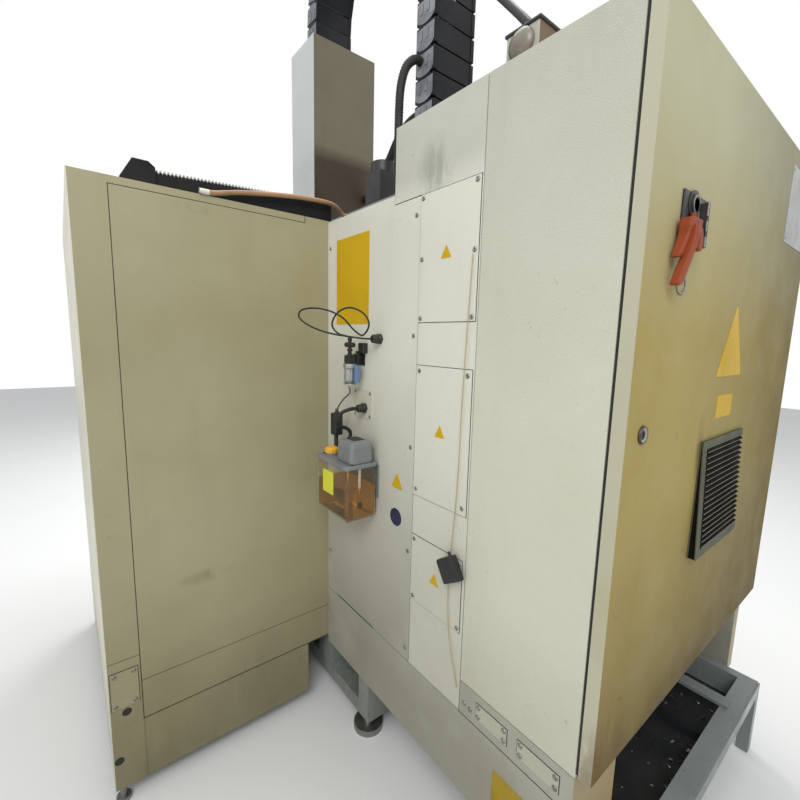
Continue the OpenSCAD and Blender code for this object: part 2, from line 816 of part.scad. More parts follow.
// Folded roof cover, its folds crossing X, with the plate that ends it
fold_x = [360, encl_hw - 221];
folds = 56;
fold_low = 36;
fold_h = 47;
fold_rise = 0.5;
fold_y = [-480, 20];
fold_pitch = (fold_x[1] - fold_x[0]) / folds;
module roof_bellows() {
    color([0.1, 0.1, 0.1]) {
        profile_xz([wing_y + fold_y[0], wing_y - fold_y[1]], concat(
            [[fold_x[0], encl_top]],
            [
                for (i = [0:folds - 1])
                let (rise = (folds - i) * fold_rise)
                each [
                    [fold_x[0] + i * fold_pitch, encl_top + fold_low + rise],
                    [fold_x[0] + (i + 0.5) * fold_pitch, encl_top + fold_h + rise]
                ]
            ],
            [[fold_x[1], encl_top + fold_low], [fold_x[1], encl_top]]
        ));
        profile_xz([wing_y + fold_y[0] - 10, wing_y - fold_y[1] + 10], [
            [fold_x[1], encl_top], [fold_x[1], encl_top + 52], [fold_x[1] + 18, encl_top + 66],
            [fold_x[1] + 60, encl_top + 66], [fold_x[1] + 94, encl_top + 8], [fold_x[1] + 94, encl_top]
        ]);
    }
}

// Electrical cabinet
rim = 25;
module cabinet_box() {
    color([0.85, 0.83, 0.76]) {
        difference() {
            span([left_x, side_x], [back(box_d), box_y], [box_z, cab_top]);
            span([left_in, side_in], [back(box_d) + sheet_t, box_y - sheet_t],
                 [box_z + sheet_t, cab_top - sheet_t]);
            span([left_x + rim, side_x - rim], [box_y - 5, box_y + cut], [box_z + rim, cab_top - rim]);
        }
    }
}

// The three covers: distances from the door's outside, then heights
cover_d = [[399, 626], [400, 625], [405, 625]];
cover_z = [[1651, 2010], [1116, 1523], [762, 983]];
cover_t = 2;
cover_lap = 22;
module access_strip() {
    color([0.84, 0.83, 0.77]) {
        difference() {
            sheet_yz([side_in, side_x], [
                [back(box_d + seam), seam_z + seam], [back(box_d + seam), cab_top],
                [back(neck_d), cab_top], [back(neck_d), neck_z], [back(strip_d), neck_z],
                [back(strip_d), seam_z + seam]
            ]);
            for (i = [0:2])
                span([side_in - cut, side_x + cut],
                     [back(cover_d[i][1] - cover_lap), back(cover_d[i][0] + cover_lap)],
                     [cover_z[i][0] + cover_lap, cover_z[i][1] - cover_lap]);
        }
        span([left_in, side_in], [back(neck_d), back(box_d + seam)], [cab_top - sheet_t, cab_top]);
        span([side_in - 22, side_in], [back(box_d + seam) - sheet_t, back(box_d + seam)],
             [seam_z + 60, cab_top - sheet_t]);
        span([left_in, side_in], [back(neck_d), back(neck_d) + sheet_t], [neck_z, cab_top - sheet_t]);
    }
}

slot_seam = 7;
slot_seam_d = [836, 1096];
module side_sheet() {
    color([0.83, 0.82, 0.76])
    difference() {
        sheet_yz([side_in, side_x], [
            [back(strip_d + seam), seam_z + seam], [back(strip_d + seam), neck_z - seam],
            [back(neck_d + seam), neck_z - seam], [back(neck_d + seam), side_top],
            [wing_y, side_top], [wing_y, seam_z + seam]
        ]);
        span([side_in - cut, side_x + cut], [back(slot_seam_d[1]), back(slot_seam_d[0])],
             [seam_z, seam_z + slot_seam]);
    }
}

module lower_sheet() {
    color([0.8, 0.79, 0.72]) {
        sheet_yz([side_in, side_x], [
            [wing_y, side_z], [box_y, side_z], [box_y, box_z - seam], [back(box_d), box_z - seam],
            [back(box_d), seam_z], [wing_y, seam_z]
        ]);
        span([side_x - leg_w, side_in], [box_y - sheet_t, box_y], [side_z, box_z - seam]);
        span([side_x - leg_w, side_x - leg_w + sheet_t], [box_y - 300, box_y - sheet_t],
             [side_z, box_z - seam]);
        span([left_in, left_x + leg_left_w], [box_y - sheet_t, box_y], [side_z, box_z - seam]);
        span([left_x + leg_left_w - sheet_t, left_x + leg_left_w], [box_y - 300, box_y - sheet_t],
             [side_z, box_z - seam]);
    }
}

// Small covers: distances from the door's outside, then heights
small_d = [[222, 327], [71, 188]];
small_z = [548, 595];
wing_cover_x = [encl_hw - 86, encl_hw - 7];
wing_cover_z = [366, 498];
module access_covers() {
    color([0.85, 0.84, 0.78]) {
        for (i = [0:2])
            span([side_x, side_x + cover_t], [back(cover_d[i][1]), back(cover_d[i][0])], cover_z[i]);
        for (d = small_d) span([side_x, side_x + cover_t], [back(d[1]), back(d[0])], small_z);
        span(wing_cover_x, [wing_y + 1.5, wing_y + 1.5 + cover_t], wing_cover_z);
    }
}

// Round-headed screws: distance from the door's outside, height, and how far the seat stands out
screw_head_r = 7;
side_screws = concat(
    [for (z = [1662, 1831, 2000]) each [[615, z, cover_t], [411, z, cover_t]]],
    [for (z = [1137, 1507]) each [[612, z, cover_t], [415, z, cover_t]]],
    [for (z = [774, 970]) each [[613, z, cover_t], [414, z, cover_t]]],
    [for (z = [564, 913, 1262, 1611, 1961]) [646, z, 0]],
    [for (d = small_d, z = small_z) each [
        [d[0] + 9, z + (z < 570 ? 9 : -9), cover_t],
        [d[1] - 9, z + (z < 570 ? 9 : -9), cover_t]
    ]],
    [[1160, 1940, 0], [1160, 700, 0], [372, 560, 0], [350, 556, 0]]
);
module round_head(r) {
    cylinder(r1 = r, r2 = r * 0.72, h = 3.2);
}

module panel_screws() {
    color([0.35, 0.34, 0.3]) {
        for (s = side_screws)
            translate([side_x + s[2], back(s[0]), s[1]]) rotate([0, 90, 0]) round_head(screw_head_r);
        for (x = [wing_cover_x[0] + 11, wing_cover_x[1] - 11],
             z = [wing_cover_z[0] + 12, wing_cover_z[1] - 12])
            translate([x, wing_y + 1.5 + cover_t, z]) rotate([-90, 0, 0]) round_head(screw_head_r);
    }
}

// Cabinet door
door_skin = 2;
door_lip = 24;
seal_w = 18;
grille_x = [side_x - grille_in - grille_w, side_x - grille_in];
fan_c = [grille_x[0] + grille_w / 2, grille_z + grille_h / 2];
lock_c = [side_x - 73, 1418];
switch_c = [side_x - 205, 1880];
hinge_c = [left_x - 9, box_y + 3];
hinge_heights = [760, 1400, 2040];
hinge_h = 60;
knuckle_r = 9;
pin_r = 4;
fan_gap = 3;
fan_frame = 20;
fan_seat = door_y - door_skin - 14;
module cabinet_door() {
    color([0.82, 0.78, 0.62])
    difference() {
        union() {
            difference() {
                span([left_x, side_x], [door_y - door_t, door_y], [door_z, door_top]);
                span([left_x + door_skin, side_x - door_skin],
                     [door_y - door_t + door_skin, door_y - door_skin],
                     [door_z + door_skin, door_top - door_skin]);
                span([left_x + door_lip, side_x - door_lip],
                     [door_y - door_t - cut, door_y - door_t + door_skin + cut],
                     [door_z + door_lip, door_top - door_lip]);
                fan_block(fan_dia / 2 + fan_gap + 4, [door_y - door_skin - cut, door_y + cut]);
            }
            difference() {
                fan_block(fan_dia / 2 + fan_frame, [door_y - door_t - fan_frame, door_y - door_skin]);
                rod_y(fan_c[0], [door_y - door_t - fan_frame - cut, door_y], fan_c[1], fan_dia / 2 + fan_gap);
            }
            span([fan_c[0] - fan_dia / 2 - 10, fan_c[0] + fan_dia / 2 + 10],
                 [door_y - door_skin - 6, door_y - door_skin], [fan_c[1] - 8, fan_c[1] + 8]);
            rod_y(fan_c[0], [fan_seat, door_y - door_skin], fan_c[1], 24);
            for (z = hinge_heights) {
                rod_z(hinge_c[0], hinge_c[1], [z + hinge_h / 2 + slide_gap, z + hinge_h], knuckle_r);
                span([hinge_c[0], left_x + cut], [door_y - door_t, door_y - door_t + 4],
                     [z + hinge_h / 2 + slide_gap, z + hinge_h]);
            }
        }
        for (z = hinge_heights)
            rod_z(hinge_c[0], hinge_c[1], [z, z + hinge_h + cut], pin_r + run_gap);
        rod_y(lock_c[0], [door_y - door_skin - cut, door_y + cut], lock_c[1], 14 + run_gap);
        rod_y(switch_c[0], [door_y - door_skin - cut, door_y + cut], switch_c[1], 6 + run_gap);
    }
}

// A square block round the fan's axis
module fan_block(half, y) {
    span([fan_c[0] - half, fan_c[0] + half], y, [fan_c[1] - half, fan_c[1] + half]);
}

module door_seal() {
    color([0.06, 0.06, 0.06])
    difference() {
        span([left_x + 3, side_x - 3], [box_y + slide_gap, door_y - door_t], [door_z + 3, door_top - 3]);
        span([left_x + 3 + seal_w, side_x - 3 - seal_w], [box_y, door_y - door_t + cut],
             [door_z + 3 + seal_w, door_top - 3 - seal_w]);
    }
}

module door_hinges() {
    color([0.3, 0.3, 0.3])
    for (z = hinge_heights) {
        rod_z(hinge_c[0], hinge_c[1], [z, z + hinge_h / 2], knuckle_r);
        rod_z(hinge_c[0], hinge_c[1], [z + hinge_h / 2, z + hinge_h - 2], pin_r);
        span([hinge_c[0], left_x], [box_y - 60, box_y - 4], [z, z + hinge_h / 2]);
        span([hinge_c[0] - 4, left_x], [box_y - 8, box_y + 2], [z, z + hinge_h / 2]);
    }
}

// Louvred grille: a frame that deepens downwards, with slanted slats
frame_w = 16;
grille_top_out = 8;
slat_t = 1.6;
module louvre_grille() {
    color([0.2, 0.19, 0.18]) {
        difference() {
            grille_wedge(0, 0);
            grille_wedge(frame_w, 3);
            span([grille_x[0] + frame_w, grille_x[1] - frame_w], [door_y - cut, door_y + 4],
                 [grille_z + frame_w, grille_z + grille_h - frame_w]);
        }
        intersection() {
            grille_wedge(frame_w - 1, 0);
            for (i = [0:slats - 1])
                translate([grille_x[0], door_y + 1, grille_z + frame_w + (i + 0.5) * slat_pitch])
                rotate([-35, 0, 0]) cube([grille_w, grille_out + 14, slat_t]);
        }
    }
}

slat_pitch = (grille_h - 2 * frame_w) / slats;

// The grille's wedge, drawn in by a margin all round and kept open at the front when open is above 0
module grille_wedge(margin, open) {
    sheet_yz([grille_x[0] + margin, grille_x[1] - margin], [
        [door_y, grille_z + margin], [door_y + grille_out + open, grille_z + margin],
        [door_y + grille_top_out + open, grille_z + grille_h - margin],
        [door_y, grille_z + grille_h - margin]
    ]);
}

blades = 5;
module fan_rotor() {
    color([0.08, 0.08, 0.08])
    translate([fan_c[0], fan_seat - slide_gap, fan_c[1]]) rotate([90, 0, 0]) {
        cylinder(r = 38, h = 26);
        for (i = [0:blades - 1]) rotate([0, 0, i * 360 / blades])
            translate([34, -12, 12]) rotate([28, 0, 0]) cube([fan_dia / 2 - 36, 44, 2.5]);
    }
}

module switch_plate() {
    color([0.08, 0.08, 0.09])
    difference() {
        union() {
            span([side_x - 275, side_x - 145], [door_y, door_y + 5], [1800, 1909]);
            rod_y(switch_c[0], [door_y + 5, door_y + 14], switch_c[1], 26);
        }
        rod_y(switch_c[0], [door_y - cut, door_y + 15], switch_c[1], 6 + run_gap);
    }
}

module switch_handle() {
    color([0.8, 0.25, 0.12])
    translate([switch_c[0], door_y + 14 + slide_gap, switch_c[1]]) rotate([90, 0, 180]) {
        cylinder(r = 24, h = 16);
        linear_extrude(16) polygon([
            [-20, 10], [20, 10], [17, -handle_len * 0.5], [15, -handle_len + 12],
            [5, -handle_len], [3, -handle_len * 0.55], [-3, -handle_len * 0.55],
            [-6, -handle_len + 18], [-15, -handle_len + 26], [-18, -handle_len * 0.5]
        ]);
        translate([0, 0, 16]) cylinder(r1 = 20, r2 = 16, h = 12);
        translate([0, 0, -14 - slide_gap - 8]) cylinder(r = 6, h = 23);
    }
}

cam_t = 4;
cam_y = box_y - sheet_t - 8;
module door_lock() {
    color([0.12, 0.12, 0.12]) {
        difference() {
            rod_y(lock_c[0], [door_y + slide_gap, door_y + 6], lock_c[1], lock_dia / 2);
            span([lock_c[0] - 3, lock_c[0] + 3], [door_y + 3, door_y + 7], [lock_c[1] - 9, lock_c[1] + 9]);
        }
        rod_y(lock_c[0], [cam_y + cam_t, door_y + slide_gap], lock_c[1], 14);
        span([lock_c[0] - 14, lock_c[0] + 14], [cam_y, cam_y + cam_t], [lock_c[1] - 14, lock_c[1] + 56]);
    }
}

// Mounting plate with drives, breakers, wiring ducts, contactors and a transformer
mod_y = back(box_d) + sheet_t;
module cabinet_modules() {
    color([0.6, 0.61, 0.6]) {
        span([left_x + 40, side_x - 40], [mod_y, mod_y + 4], [box_z + 40, cab_top - 40]);
        for (i = [0:3])
            span([left_x + 120 + i * 150, left_x + 250 + i * 150], [mod_y + 4, mod_y + 220], [1600, 2040]);
        for (z = [1180, 1520])
            span([left_x + 90, side_x - 90], [mod_y + 4, mod_y + 64], [z, z + 50]);
        for (i = [0:7])
            span([left_x + 120 + i * 62, left_x + 174 + i * 62], [mod_y + 4, mod_y + 90], [1350, 1440]);
        for (i = [0:3])
            span([left_x + 760 + i * 90, left_x + 836 + i * 90], [mod_y + 4, mod_y + 110], [1600, 1760]);
        span([left_x + 140, left_x + 440], [mod_y + 4, mod_y + 190], [box_z + 90, box_z + 330]);
        span([left_x + 620, left_x + 1100], [mod_y + 4, mod_y + 60], [box_z + 120, box_z + 180]);
    }
}

// Central lubricator on the narrow side sheet
oil_d = [817, 1028];
oil_out = 133;
oil_z = [975, 1160];
oil_wall = 4;
cap_x = side_x + 92;
cap_y = back(986);
module oil_tank() {
    color([0.85, 0.72, 0.4, 0.6])
    difference() {
        profile_box([side_x + 3, side_x + oil_out], [back(oil_d[1]), back(oil_d[0])], oil_z);
        profile_box([side_x + 3 + oil_wall, side_x + oil_out - oil_wall],
                    [back(oil_d[1]) + oil_wall, back(oil_d[0]) - oil_wall],
                    [oil_z[0] + oil_wall, oil_z[1] + cut]);
    }
}

// A box with its lower edges drawn in, as a moulded tank
module profile_box(x, y, z) {
    sheet_yz(x, [
        [y[0] + 10, z[0]], [y[1] - 10, z[0]], [y[1], z[0] + 14], [y[1], z[1]], [y[0], z[1]],
        [y[0], z[0] + 14]
    ]);
}

module oil_pump() {
    color([0.5, 0.51, 0.5])
    difference() {
        union() {
            span([side_x, side_x + oil_out + 4], [back(oil_d[1]) - 4, back(oil_d[0]) + 4],
                 [oil_z[1], oil_z[1] + 14]);
            span([side_x, side_x + 3], [back(oil_d[1]) - 4, back(oil_d[0]) + 4],
                 [oil_z[0] + 40, oil_z[1]]);
            rod_z(side_x + 66, back(880), [oil_z[1] + 14, oil_z[1] + 74], 46);
            translate([side_x + 66, back(880), oil_z[1] + 74]) cylinder(r1 = 46, r2 = 34, h = 12);
            span([side_x + 20, side_x + 112], [back(880), back(826)], [oil_z[1] + 14, oil_z[1] + 64]);
            span([side_x + 24, side_x + 62], [back(958), back(922)], [oil_z[1] + 14, oil_z[1] + 52]);
            rod_z(cap_x, cap_y, [oil_z[1] + 14, oil_z[1] + 24], 24);
            rod_z(side_x + 43, back(940), [oil_z[1] + 52, oil_z[1] + 78], 13);
        }
        rod_z(cap_x, cap_y, [oil_z[1] - cut, oil_z[1] + 25], 18);
    }
}

module oil_cap() {
    color([0.9, 0.6, 0.15]) {
        translate([cap_x, cap_y, oil_z[1] + 24 + slide_gap]) {
            cylinder(r = 25, h = 16);
            translate([0, 0, 16]) cylinder(r1 = 22, r2 = 15, h = 5);
        }
        rod_z(cap_x, cap_y, [oil_z[1] + 4, oil_z[1] + 25], 17.4);
    }
}

// Filter regulator on its bracket
reg_x = side_x + 46;
reg_y = back(940);
reg_z = 1500;
module air_regulator() {
    color([0.55, 0.6, 0.66]) {
        span([side_x, side_x + 4], [reg_y - 30, reg_y + 30], [reg_z + 4, reg_z + 54]);
        span([side_x + 4, reg_x - 20], [reg_y - 14, reg_y + 14], [reg_z + 12, reg_z + 44]);
        span([reg_x - 22, reg_x + 22], [reg_y - 24, reg_y + 24], [reg_z + 8, reg_z + 50]);
        rod_z(reg_x, reg_y, [reg_z + 50, reg_z + 88], 16);
        rod_z(reg_x, reg_y, [reg_z - 50, reg_z + 8], 21);
        translate([reg_x, reg_y, reg_z - 62]) cylinder(r1 = 9, r2 = 20, h = 12);
        rod_z(reg_x, reg_y, [reg_z - 74, reg_z - 62], 7);
        rod_y(reg_x, [reg_y + 24, reg_y + 42], reg_z + 30, 9);
        rod_y(reg_x, [reg_y - 42, reg_y - 24], reg_z + 30, 9);
    }
}

gland_z = 1599;
gland_y = back(822);
gland_plate_d = [863, 976];
gland_plate_z = [1315, 1416];
gland2_y = back(905);
gland2_z = 1352;
module cable_glands() {
    color([0.08, 0.08, 0.08]) {
        rod_x([side_x, side_x + 12], gland_y, gland_z, 19);
        rod_x([side_x + 12, side_x + 34], gland_y, gland_z, 14);
        span([side_x, side_x + 3], [back(gland_plate_d[1]), back(gland_plate_d[0])], gland_plate_z);
        rod_x([side_x + 3, side_x + 14], gland2_y, gland2_z, 19);
        rod_x([side_x + 14, side_x + 36], gland2_y, gland2_z, 14);
    }
}

// Routes of the hoses and cables, chosen by hand. On the side sheet a point is given by its distance
// from the sheet, its distance from the door's outside and its height
function beside(points) = [for (p = points) [side_x + p[0], back(p[1]), p[2]]];
air_route = beside([
    [34, 822, 1599], [60, 822, 1599], [106, 873, 1606], [146, 936, 1618], [176, 1002, 1641],
    [191, 1040, 1668], [186, 1027, 1692], [166, 969, 1697], [136, 920, 1687], [106, 887, 1665],
    [78, 869, 1630], [56, 853, 1610], [66, 808, 1620], [76, 777, 1648], [91, 789, 1679],
    [106, 843, 1697], [111, 911, 1684], [106, 960, 1646], [82, 963, 1616], [49, 942, 1604],
    [46, 940, 1589.2]
]);
pump_route = beside([
    [36, 905, 1352], [64, 905, 1352], [94, 913, 1340], [106, 923, 1314], [94, 933, 1290],
    [64, 940, 1280], [43, 940, 1264], [43, 940, 1238]
]);
oil_route = beside([
    [46, 940, 1426], [46, 940, 1404], [56, 967, 1378], [62, 997, 1340], [58, 1015, 1290],
    [56, 1025, 1230], [56, 1025, 1174]
]);
cord_route = beside([
    [7, 412, 1820], [8, 416, 1700], [8, 422, 1560], [10, 425, 1400], [8, 429, 1240],
    [9, 435, 1100], [8, 443, 1010], [8, 449, 880], [8, 443, 780], [6, 431, 700],
    [5, 415, 640], [2, 403, 590]
]);
// Along the roof's edge to the column: X, distance from the wing wall, height above the roof
roof_route = [
    for (p = [
        [850, 3, 8.4], [802, 3, 12], [721, 3, 31], [617, 3, 48], [503, 3, 62],
        [400, 3, 67], [350, -5, 63], [318, -24, 52], [300, -31, 44], [280.5, -31, 44]
    ])
    [p[0], wing_y + p[1], encl_top + p[2]]
];
// From the column's top to the head cover, and from the column's top into the chain's side: X,
// distance from the spindle's axis, height above the column
function above(points) = [for (p = points) [p[0], spin_y + p[1], col_top + p[2]]];
tower_route = above([
    [-150, 840, 0], [-150, 840, 120], [-150, 810, 280], [-150, 730, 420], [-150, 620, 500],
    [-150, 510, 530], [-150, 400, 490], [-150, 310, 400], [-140, 230, 300], [-132, 170, 252],
    [-132, 125, 252]
]);
riser_route = above([
    [207, 850, 0], [207, 850, 150], [207, 850, 300], [203, 852, 400], [185, 858, 470],
    [150, 865, 506], [120.5, 865, 506]
]);
air_dia = 6;
pump_dia = 14;
oil_dia = 6;
cord_dia = 3;
roof_dia = 16;
tower_dia = 44;
riser_dia = 32;
module hoses() {
    color([0.07, 0.07, 0.07]) {
        tube(air_route, air_dia, [0, 0, 1], 8);
        tube(pump_route, pump_dia, [0, 1, 0], 8);
        tube(oil_route, oil_dia, [0, 1, 0], 8);
        tube(cord_route, cord_dia, [1, 0, 0], 8);
        tube(roof_route, roof_dia, [0, 1, 0], 8);
        tube(tower_route, tower_dia, [1, 0, 0], 10);
        tube(riser_route, riser_dia, [0, 1, 0], 8);
    }
}

// Box that hangs on the cord, and the junction box that stands on the neck's top sheet
cord_box_x = side_x + 9.8;
cord_box = [28, 66, 70];
cord_box_c = [back(431), 955];
cord_box_tilt = 32;
junction_x = [24, 125];
junction_y = [back(561), back(447)];
junction_top = 2494;
dome_z = 2450;
dome_r = 43;
module wiring_boxes() {
    color([0.07, 0.07, 0.07])
    translate([cord_box_x + cord_box[0] / 2, cord_box_c[0], cord_box_c[1]])
    rotate([cord_box_tilt, 0, 0]) cube(cord_box, center = true);
    color([0.6, 0.6, 0.57]) {
        span(junction_x, junction_y, [cab_top, junction_top]);
        span([junction_x[0] - 3, junction_x[1] + 3], [junction_y[0] - 3, junction_y[1] + 3],
             [junction_top, junction_top + 6]);
        rod_x([junction_x[1], junction_x[1] + 8], junction_y[0] + 56, dome_z, dome_r);
        translate([junction_x[1] + 8, junction_y[0] + 56, dome_z]) rotate([0, 90, 0])
            cylinder(r1 = dome_r - 5, r2 = 20, h = 12);
        span([junction_x[0] - 40, junction_x[0]], [junction_y[0] + 20, junction_y[1] - 30], [2330, 2400]);
    }
}

// Coolant tank: a tray with a rim on a frame of steel bars
tank_x = [side_x - 234 - tank_l, side_x - 234];
tank_y = [wing_y + 480, door_y + tank_out];
tank_bar = 40;
tank_wall = 4;
tank_lap = 2;
module coolant_tank() {
    color([0.3, 0.32, 0.33]) {
        difference() {
            union() {
                span([tank_x[0] + tank_bar - tank_lap, tank_x[1] - tank_bar + tank_lap],
                     [tank_y[0] + tank_bar - tank_lap, tank_y[1] - tank_bar + tank_lap], [90, tank_top - 4]);
                span([tank_x[0] + 6, tank_x[1] - 6], [tank_y[0] + 6, tank_y[1] - 6],
                     [tank_top - 12, tank_top - 4]);
            }
            span([tank_x[0] + tank_bar + tank_wall, tank_x[1] - tank_bar - tank_wall],
                 [tank_y[0] + tank_bar + tank_wall, tank_y[1] - tank_bar - tank_wall - 18],
                 [90 + tank_wall, tank_top + cut]);
        }
        for (x = [tank_x[0], tank_x[1] - tank_bar], y = [tank_y[0], tank_y[1] - tank_bar])
            span([x, x + tank_bar], [y, y + tank_bar], [0, tank_top - 12]);
        for (y = [tank_y[0], tank_y[1] - tank_bar])
            span([tank_x[0] + tank_bar, tank_x[1] - tank_bar], [y, y + tank_bar],
                 [tank_top - 60, tank_top - 12]);
        span([tank_x[0] + 220, tank_x[0] + 270], [tank_y[0] + tank_bar, tank_y[1] - tank_bar],
             [tank_top - 4, tank_top + 8]);
        span([tank_x[1] - 290, tank_x[1] - 10], [tank_y[0] + 10, tank_y[0] + 230], [tank_top - 4, tank_top]);
        rod_z(tank_x[1] - 160, tank_y[0] + 130, [tank_top, tank_top + 200], 65);
    }
}

module chip_pans() {
    color([0.5, 0.5, 0.48])
    for (s = [-1, 1])
        profile_xz([frame_front + post, skin_in - sheet_t - post], [
            [s * base_hw, 400], [s * wall_in, 520], [s * wall_in, 524], [s * base_hw, 404]
        ]);
}

// Control pendant on its arm
pend_x = [encl_hw - 320, encl_hw - 20];
pend_z = [1050, 1690];
pend_face = front_y - pend_out;
pend_back = pend_face + 200;
pivot = [encl_hw - 70, pend_face + 100];
arm_r = 24;
arm_top = 1900;
module pendant_arm() {
    color([0.5, 0.5, 0.48]) {
        rod_z(pivot[0], pivot[1], [pend_z[1] + slide_gap, arm_top], arm_r);
        rod_z(pivot[0], pivot[1], [pend_z[1] - 40, pend_z[1] + slide_gap], 14);
        span([pivot[0] - 30, pivot[0] + 30], [pivot[1] - 30, front_in], [arm_top, arm_top + 50]);
    }
}

estop_c = [encl_hw - 80, 1180];
start_c = [encl_hw - 260, 1180];
wheel_c = [encl_hw - 170, 1140];
module pendant_box() {
    color([0.74, 0.72, 0.66])
    difference() {
        union() {
            sheet_yz(pend_x, [
                [pend_face + 4, pend_z[0]], [pend_back, pend_z[0] + 60], [pend_back, pend_z[1]],
                [pend_face + 4, pend_z[1]]
            ]);
            difference() {
                span(pend_x, [pend_face, pend_face + 4], pend_z);
                span([pend_x[0] + 22, pend_x[1] - 22], [pend_face - cut, pend_face + 3],
                     [1440, pend_z[1] - 24]);
            }
            for (i = [0:5], j = [0:3])
                span([pend_x[0] + 30 + i * 42, pend_x[0] + 62 + i * 42], [pend_face - 3, pend_face],
                     [1250 + j * 42, 1280 + j * 42]);
        }
        rod_z(pivot[0], pivot[1], [pend_z[1] - 40 - slide_gap, pend_z[1] + cut], 14 + run_gap);
        rod_y(estop_c[0], [pend_face - 5, pend_face + 40], estop_c[1], 11 + run_gap);
        rod_y(start_c[0], [pend_face - 5, pend_face + 30], start_c[1], 12 + slide_gap);
        rod_y(wheel_c[0], [pend_face - 5, pend_face + 30], wheel_c[1], 8 + run_gap);
    }
}

module e_stop() {
    color([0.75, 0.1, 0.08])
    translate([estop_c[0], pend_face + 30, estop_c[1]]) rotate([90, 0, 0]) {
        cylinder(r = 11, h = 42);
        translate([0, 0, 40]) cylinder(r = 20, h = 10);
        translate([0, 0, 50]) cylinder(r1 = 20, r2 = 15, h = knob_out - 20);
    }
}

module start_button() {
    color([0.15, 0.5, 0.2])
    rod_y(start_c[0], [pend_face - 8, pend_face + 20], start_c[1], 12);
}

module handwheel() {
    color([0.12, 0.12, 0.12])
    translate([wheel_c[0], pend_face + 22, wheel_c[1]]) rotate([90, 0, 0]) {
        cylinder(r = 8, h = 26);
        translate([0, 0, 25]) cylinder(r = 36, h = 12);
        translate([24, 0, 37]) cylinder(r = 6, h = knob_out - 15);
    }
}

base_casting();
column();
levelling_feet();
guide_rails();
servo_motors();
saddle();
x_rails();
table();
x_screw();
y_screw();
z_screw();
head_casting();
spindle_cartridge();
spindle_motor();
head_tower();
spindle();
magazine_carriage();
magazine_disc();
cable_chain();
enclosure_frame();
side_walls();
wing_walls();
wing_panel();
front_panels();
door_rails();
front_door_left();
front_door_right();
window_left();
window_right();
roof_sheets();
roof_bellows();
cabinet_box();
access_strip();
side_sheet();
lower_sheet();
access_covers();
panel_screws();
cabinet_door();
door_seal();
door_hinges();
louvre_grille();
fan_rotor();
switch_plate();
switch_handle();
door_lock();
cabinet_modules();
oil_tank();
oil_pump();
oil_cap();
air_regulator();
cable_glands();
hoses();
wiring_boxes();
coolant_tank();
chip_pans();
pendant_arm();
pendant_box();
e_stop();
start_button();
handwheel();
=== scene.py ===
"""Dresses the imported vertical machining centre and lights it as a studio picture."""
import random
from math import cos, pi, radians, sin
import bmesh
import bpy
from mathutils import Matrix, Vector


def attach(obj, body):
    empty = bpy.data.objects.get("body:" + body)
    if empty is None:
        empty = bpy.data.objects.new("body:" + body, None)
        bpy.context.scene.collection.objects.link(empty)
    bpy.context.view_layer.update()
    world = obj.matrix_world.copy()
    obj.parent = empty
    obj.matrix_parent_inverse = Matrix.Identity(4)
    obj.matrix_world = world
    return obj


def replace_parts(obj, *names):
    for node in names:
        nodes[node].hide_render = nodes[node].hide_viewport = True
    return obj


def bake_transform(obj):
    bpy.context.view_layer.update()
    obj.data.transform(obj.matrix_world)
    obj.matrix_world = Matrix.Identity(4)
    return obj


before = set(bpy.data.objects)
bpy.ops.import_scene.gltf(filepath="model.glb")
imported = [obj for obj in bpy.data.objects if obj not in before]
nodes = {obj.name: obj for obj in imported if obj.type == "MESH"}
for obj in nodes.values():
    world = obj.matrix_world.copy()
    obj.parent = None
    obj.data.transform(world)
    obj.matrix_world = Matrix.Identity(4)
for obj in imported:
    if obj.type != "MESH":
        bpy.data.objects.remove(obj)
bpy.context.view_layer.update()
scene = bpy.context.scene
rng = random.Random(7)

# Places shared with the CAD part, in metres
DOOR_Y = 1.315
SIDE_X = 0.384
WING_Y = 0.135
FRONT_Y = -1.115
ROOF = 2.046
CAB_TOP = 2.233
SPIN_Y = -0.51

# Camera of the photograph
CAM = Vector((1.229, 1.676, 1.6))
YAW, PITCH, ROLL = 0.9008, 0.1418, 0.0237
FOCAL_PX = 426.084
IMAGE_PX = 800
SENSOR = 36.0


def add_object(name, data):
    made = bpy.data.objects.new(name, data)
    scene.collection.objects.link(made)
    return made


def aim_camera():
    forward = Vector((-cos(YAW) * cos(PITCH), -sin(YAW) * cos(PITCH), -sin(PITCH)))
    right = forward.cross(Vector((0, 0, 1))).normalized()
    up = right.cross(forward)
    x_axis = right * cos(ROLL) + up * sin(ROLL)
    y_axis = -right * sin(ROLL) + up * cos(ROLL)
    data = bpy.data.cameras.new("photo_camera")
    data.sensor_width = SENSOR
    data.lens = FOCAL_PX / IMAGE_PX * SENSOR
    data.clip_start = 0.02
    data.clip_end = 60
    camera = add_object("photo_camera", data)
    turn = Matrix((x_axis, y_axis, -forward)).transposed().to_4x4()
    camera.matrix_world = Matrix.Translation(CAM) @ turn
    scene.camera = camera


aim_camera()


# Materials
def feed(tree, node, inputs):
    """Links the inputs that come from other nodes and sets the rest."""
    for key, value in inputs.items():
        if isinstance(value, bpy.types.NodeSocket):
            tree.links.new(value, node.inputs[key])
        else:
            node.inputs[key].default_value = value


def new_node(tree, kind, inputs, **values):
    made = tree.nodes.new("ShaderNode" + kind)
    for key, value in values.items():
        setattr(made, key, value)
    feed(tree, made, inputs)
    return made


